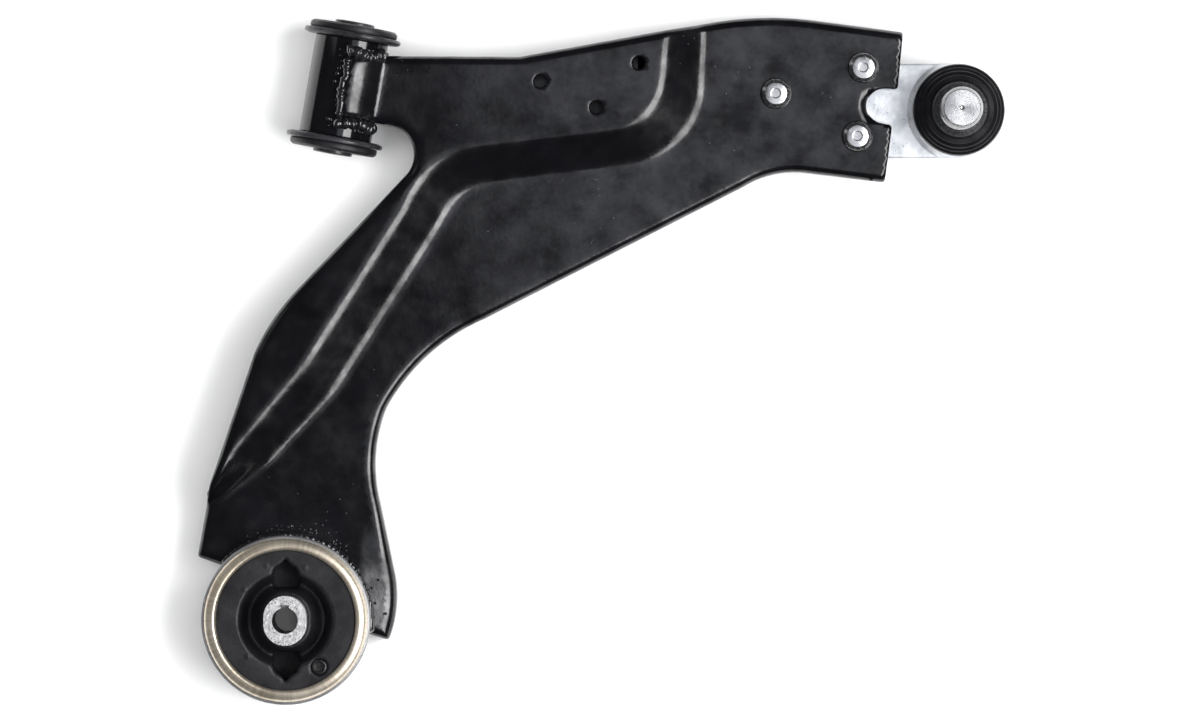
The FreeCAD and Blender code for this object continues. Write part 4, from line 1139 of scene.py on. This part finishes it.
def blobs(name, spots, seed):
    """Weld spatter: small lumps, each given as (x, y, z, radius)."""
    rng = random.Random(seed)
    bm = bmesh.new()
    for x, y, z, radius in spots:
        start = len(bm.verts)
        bmesh.ops.create_icosphere(bm, subdivisions=2, radius=radius * MM)
        bm.verts.ensure_lookup_table()
        stretch = Vector((rng.uniform(0.8, 1.5), rng.uniform(0.8, 1.4), rng.uniform(0.5, 0.8)))
        for vert in bm.verts[start:]:
            wobble = 1 + rng.uniform(-0.08, 0.08)
            spot = Vector([vert.co[k] * stretch[k] * wobble for k in range(3)])
            vert.co = spot + Vector((x, y, z)) * MM
    mesh = bpy.data.meshes.new(name)
    bm.to_mesh(mesh)
    bm.free()
    smooth_faces(mesh)
    return add_to_scene(name, mesh)


def finish_weld(obj, *nodes):
    finish_piece(obj, ARM, weld_coat, "weld_bead", *nodes)


def on_sleeve(across_angle, along, lift):
    """A point on the front sleeve: its angle from the crown towards the arm, and its place along."""
    angle = math.radians(across_angle)
    reach = SLEEVE_RADIUS + lift
    spot = FRONT_CENTRE + FRONT_SIDE * (reach * math.sin(angle)) + FRONT_AXIS * along
    return (spot.x, spot.y, FRONT_CENTRE.z + reach * math.cos(angle))


crown_path = [on_sleeve(0.5 + 1.6 * math.sin(k / 3), -15.5 + k, 1.3) for k in range(32)]
finish_weld(bead("crown_weld", crown_path, 1.75, 3, ripple=3.1, lumps=0.55), "front_sleeve_weld")
for label, along, lean in (("front", 18.0, 1), ("rear", -17.4, -1)):
    arc = [on_sleeve(-5 + 3.4 * k, along + lean * 0.9 * math.sin(k / 2.3), 0.7) for k in range(24)]
    finish_weld(bead("tongue_weld_" + label, arc, 2.3, 11 + lean, ripple=3.7, lumps=0.9))
rng = random.Random(5)
spots = []
for middle_along, count, spread in ((18.2, 26, 2.6), (-18.6, 26, 2.4), (0.0, 12, 14.0)):
    for _ in range(count):
        along = middle_along + rng.uniform(-spread, spread)
        lean = rng.uniform(-16, 46) if abs(middle_along) > 1 else rng.uniform(-14, -2)
        along = max(-22.5, min(22.5, along))
        spots.append((*on_sleeve(lean, along, 0.25), rng.uniform(0.35, 0.95)))
finish_weld(blobs("sleeve_spatter", spots, 8))

ring_path = []
for k in range(70):
    angle = math.radians(-9 + 148 * k / 69)
    reach = HOUSING_RADIUS + 0.9
    ring_path.append((reach * math.cos(angle), reach * math.sin(angle), MAIN_LEVEL + 0.6))
finish_weld(bead("housing_weld", ring_path, 2.0, 23, ripple=2.8, lumps=0.4), "rear_housing_weld")
spots = []
for _ in range(44):
    angle = math.radians(rng.gauss(72, 17))
    reach = HOUSING_RADIUS + 3.6 + abs(rng.gauss(0, 2.2))
    x, y = reach * math.cos(angle), reach * math.sin(angle)
    spots.append((x, y, MAIN_LEVEL + 0.1, rng.uniform(0.25, 0.7)))
for x, y in ((43.6, 16.0), (45.2, 8.4), (47.0, 20.0), (50.5, 3.0), (43.9, 1.0)):
    spots.append((x, y, MAIN_LEVEL - 0.1, rng.uniform(0.5, 0.9)))
finish_weld(blobs("housing_spatter", spots, 9))

# Each stitch is given by the corner of the plan before it, how far past it it starts, and its length.
STITCHES = [(14, 20.0, 34.0), (14, 58.0, 24.0), (5, 22.0, 30.0), (3, 28.0, 30.0)]
for number, (corner, along, length) in enumerate(STITCHES, start=1):
    start = Vector((*ARM_PLAN[corner][:2], 0))
    end = Vector((*ARM_PLAN[corner + 1][:2], 0))
    heading = (end - start).normalized()
    inward = Vector((-heading.y, heading.x, 0))
    foot = start + heading * along + inward * (SHEET + 0.6) + Vector((0, 0, SKIRT_LEVEL + 0.5))
    path = [foot + heading * (length * k / 20) for k in range(21)]
    stitch = bead("seam_stitch_%d" % number, path, 2.0, 30 + number, ripple=2.2, lumps=0.35)
    finish_weld(stitch, *(["seam_weld"] if number == 1 else []))

# ---------------------------------------------------------------- pieces kept from the frame


def keep(node, finish, slot_name, edge):
    """Show a CAD piece itself, with a finish and broken edges."""
    obj = frame["nodes"][node]
    obj.data.materials.clear()
    obj.data.materials.append(finish)
    soft = obj.modifiers.new("edge", "BEVEL")
    soft.width = edge * MM
    soft.segments = 3
    soft.limit_method = "ANGLE"
    soft.angle_limit = math.radians(32)


keep("lower_shell", coat, "black_coat", 0.6)
keep("rear_bush_channel_ring", channel_plastic, "channel_plastic", 0.3)
keep("rear_bush_inner_sleeve", sleeve_steel, "sleeve_steel", 0.25)
keep("ball_seat", seat_plastic, "seat_plastic", 0.2)

# ---------------------------------------------------------------- floor, light and camera

floor_mesh = bpy.data.meshes.new("floor")
WIDE = 3.0
FLOOR_GAP = 0.0002
corners = [(-WIDE, -WIDE, 0), (WIDE, -WIDE, 0), (WIDE, WIDE, 0), (-WIDE, WIDE, 0)]
floor_mesh.from_pydata(corners, [], [(0, 1, 2, 3)])
floor = add_to_scene("floor", floor_mesh)
floor.location.z = CAD_BOX[0].z - FLOOR_GAP
floor_paint = material("floor_paint", (0.90, 0.90, 0.90), (0.86, 0.86, 0.86), (0.55, 0.7), 3.0, bump=0.02)
floor_mesh.materials.append(floor_paint)


def area_light(name, place, target, size, power, tall):
    """A rectangular light, size wide and tall high, in metres and watts."""
    data = bpy.data.lights.new(name, "AREA")
    data.shape = "RECTANGLE"
    data.size = size
    data.size_y = tall
    data.energy = power
    light = add_to_scene(name, data)
    light.location = place
    light.rotation_euler = (target - place).to_track_quat("-Z", "Y").to_euler()
    return light


CENTRE = Vector((158.6, 131.3, 20.0)) * MM
area_light("key", CENTRE + Vector((0.98, -0.12, 1.50)), CENTRE, 1.7, 38.0, 0.85)
area_light("fill", CENTRE + Vector((-1.7, 0.9, 0.9)), CENTRE, 0.5, 0.8, 1.2)
above = CENTRE + Vector((0.165, 0.03, 0))
overhead = area_light("overhead", above + Vector((0, 0, 0.78)), above, 0.46, 0.86, 0.66)
overhead.data.color = (0.90, 0.92, 1.0)
for side in (-1, 1):
    beside = CENTRE + Vector((side * 1.5, 0.0, 2.2))
    wash = area_light("wash_%d" % (side + 2), beside, CENTRE, 1.6, 62.0, 4.0)
    wash.visible_glossy = False

world = bpy.data.worlds.new("studio")
bpy.context.scene.world = world
world.use_nodes = True
background = world.node_tree.nodes["Background"]
background.inputs["Color"].default_value = (0.93, 0.95, 1, 1)
background.inputs["Strength"].default_value = 0.035

# The camera looks straight down on the arm, and its view is VIEW_WIDTH wide at the arm's level.
SENSOR = 36
VIEW_WIDTH = 0.606
VIEW_DISTANCE = 5.0
camera_data = bpy.data.cameras.new("camera")
camera_data.sensor_width = SENSOR
camera_data.lens = SENSOR * VIEW_DISTANCE / VIEW_WIDTH
camera = add_to_scene("camera", camera_data)
camera.location = (CENTRE.x, CENTRE.y, 5.03)
bpy.context.scene.camera = camera
bpy.context.scene.view_settings.view_transform = "Standard"
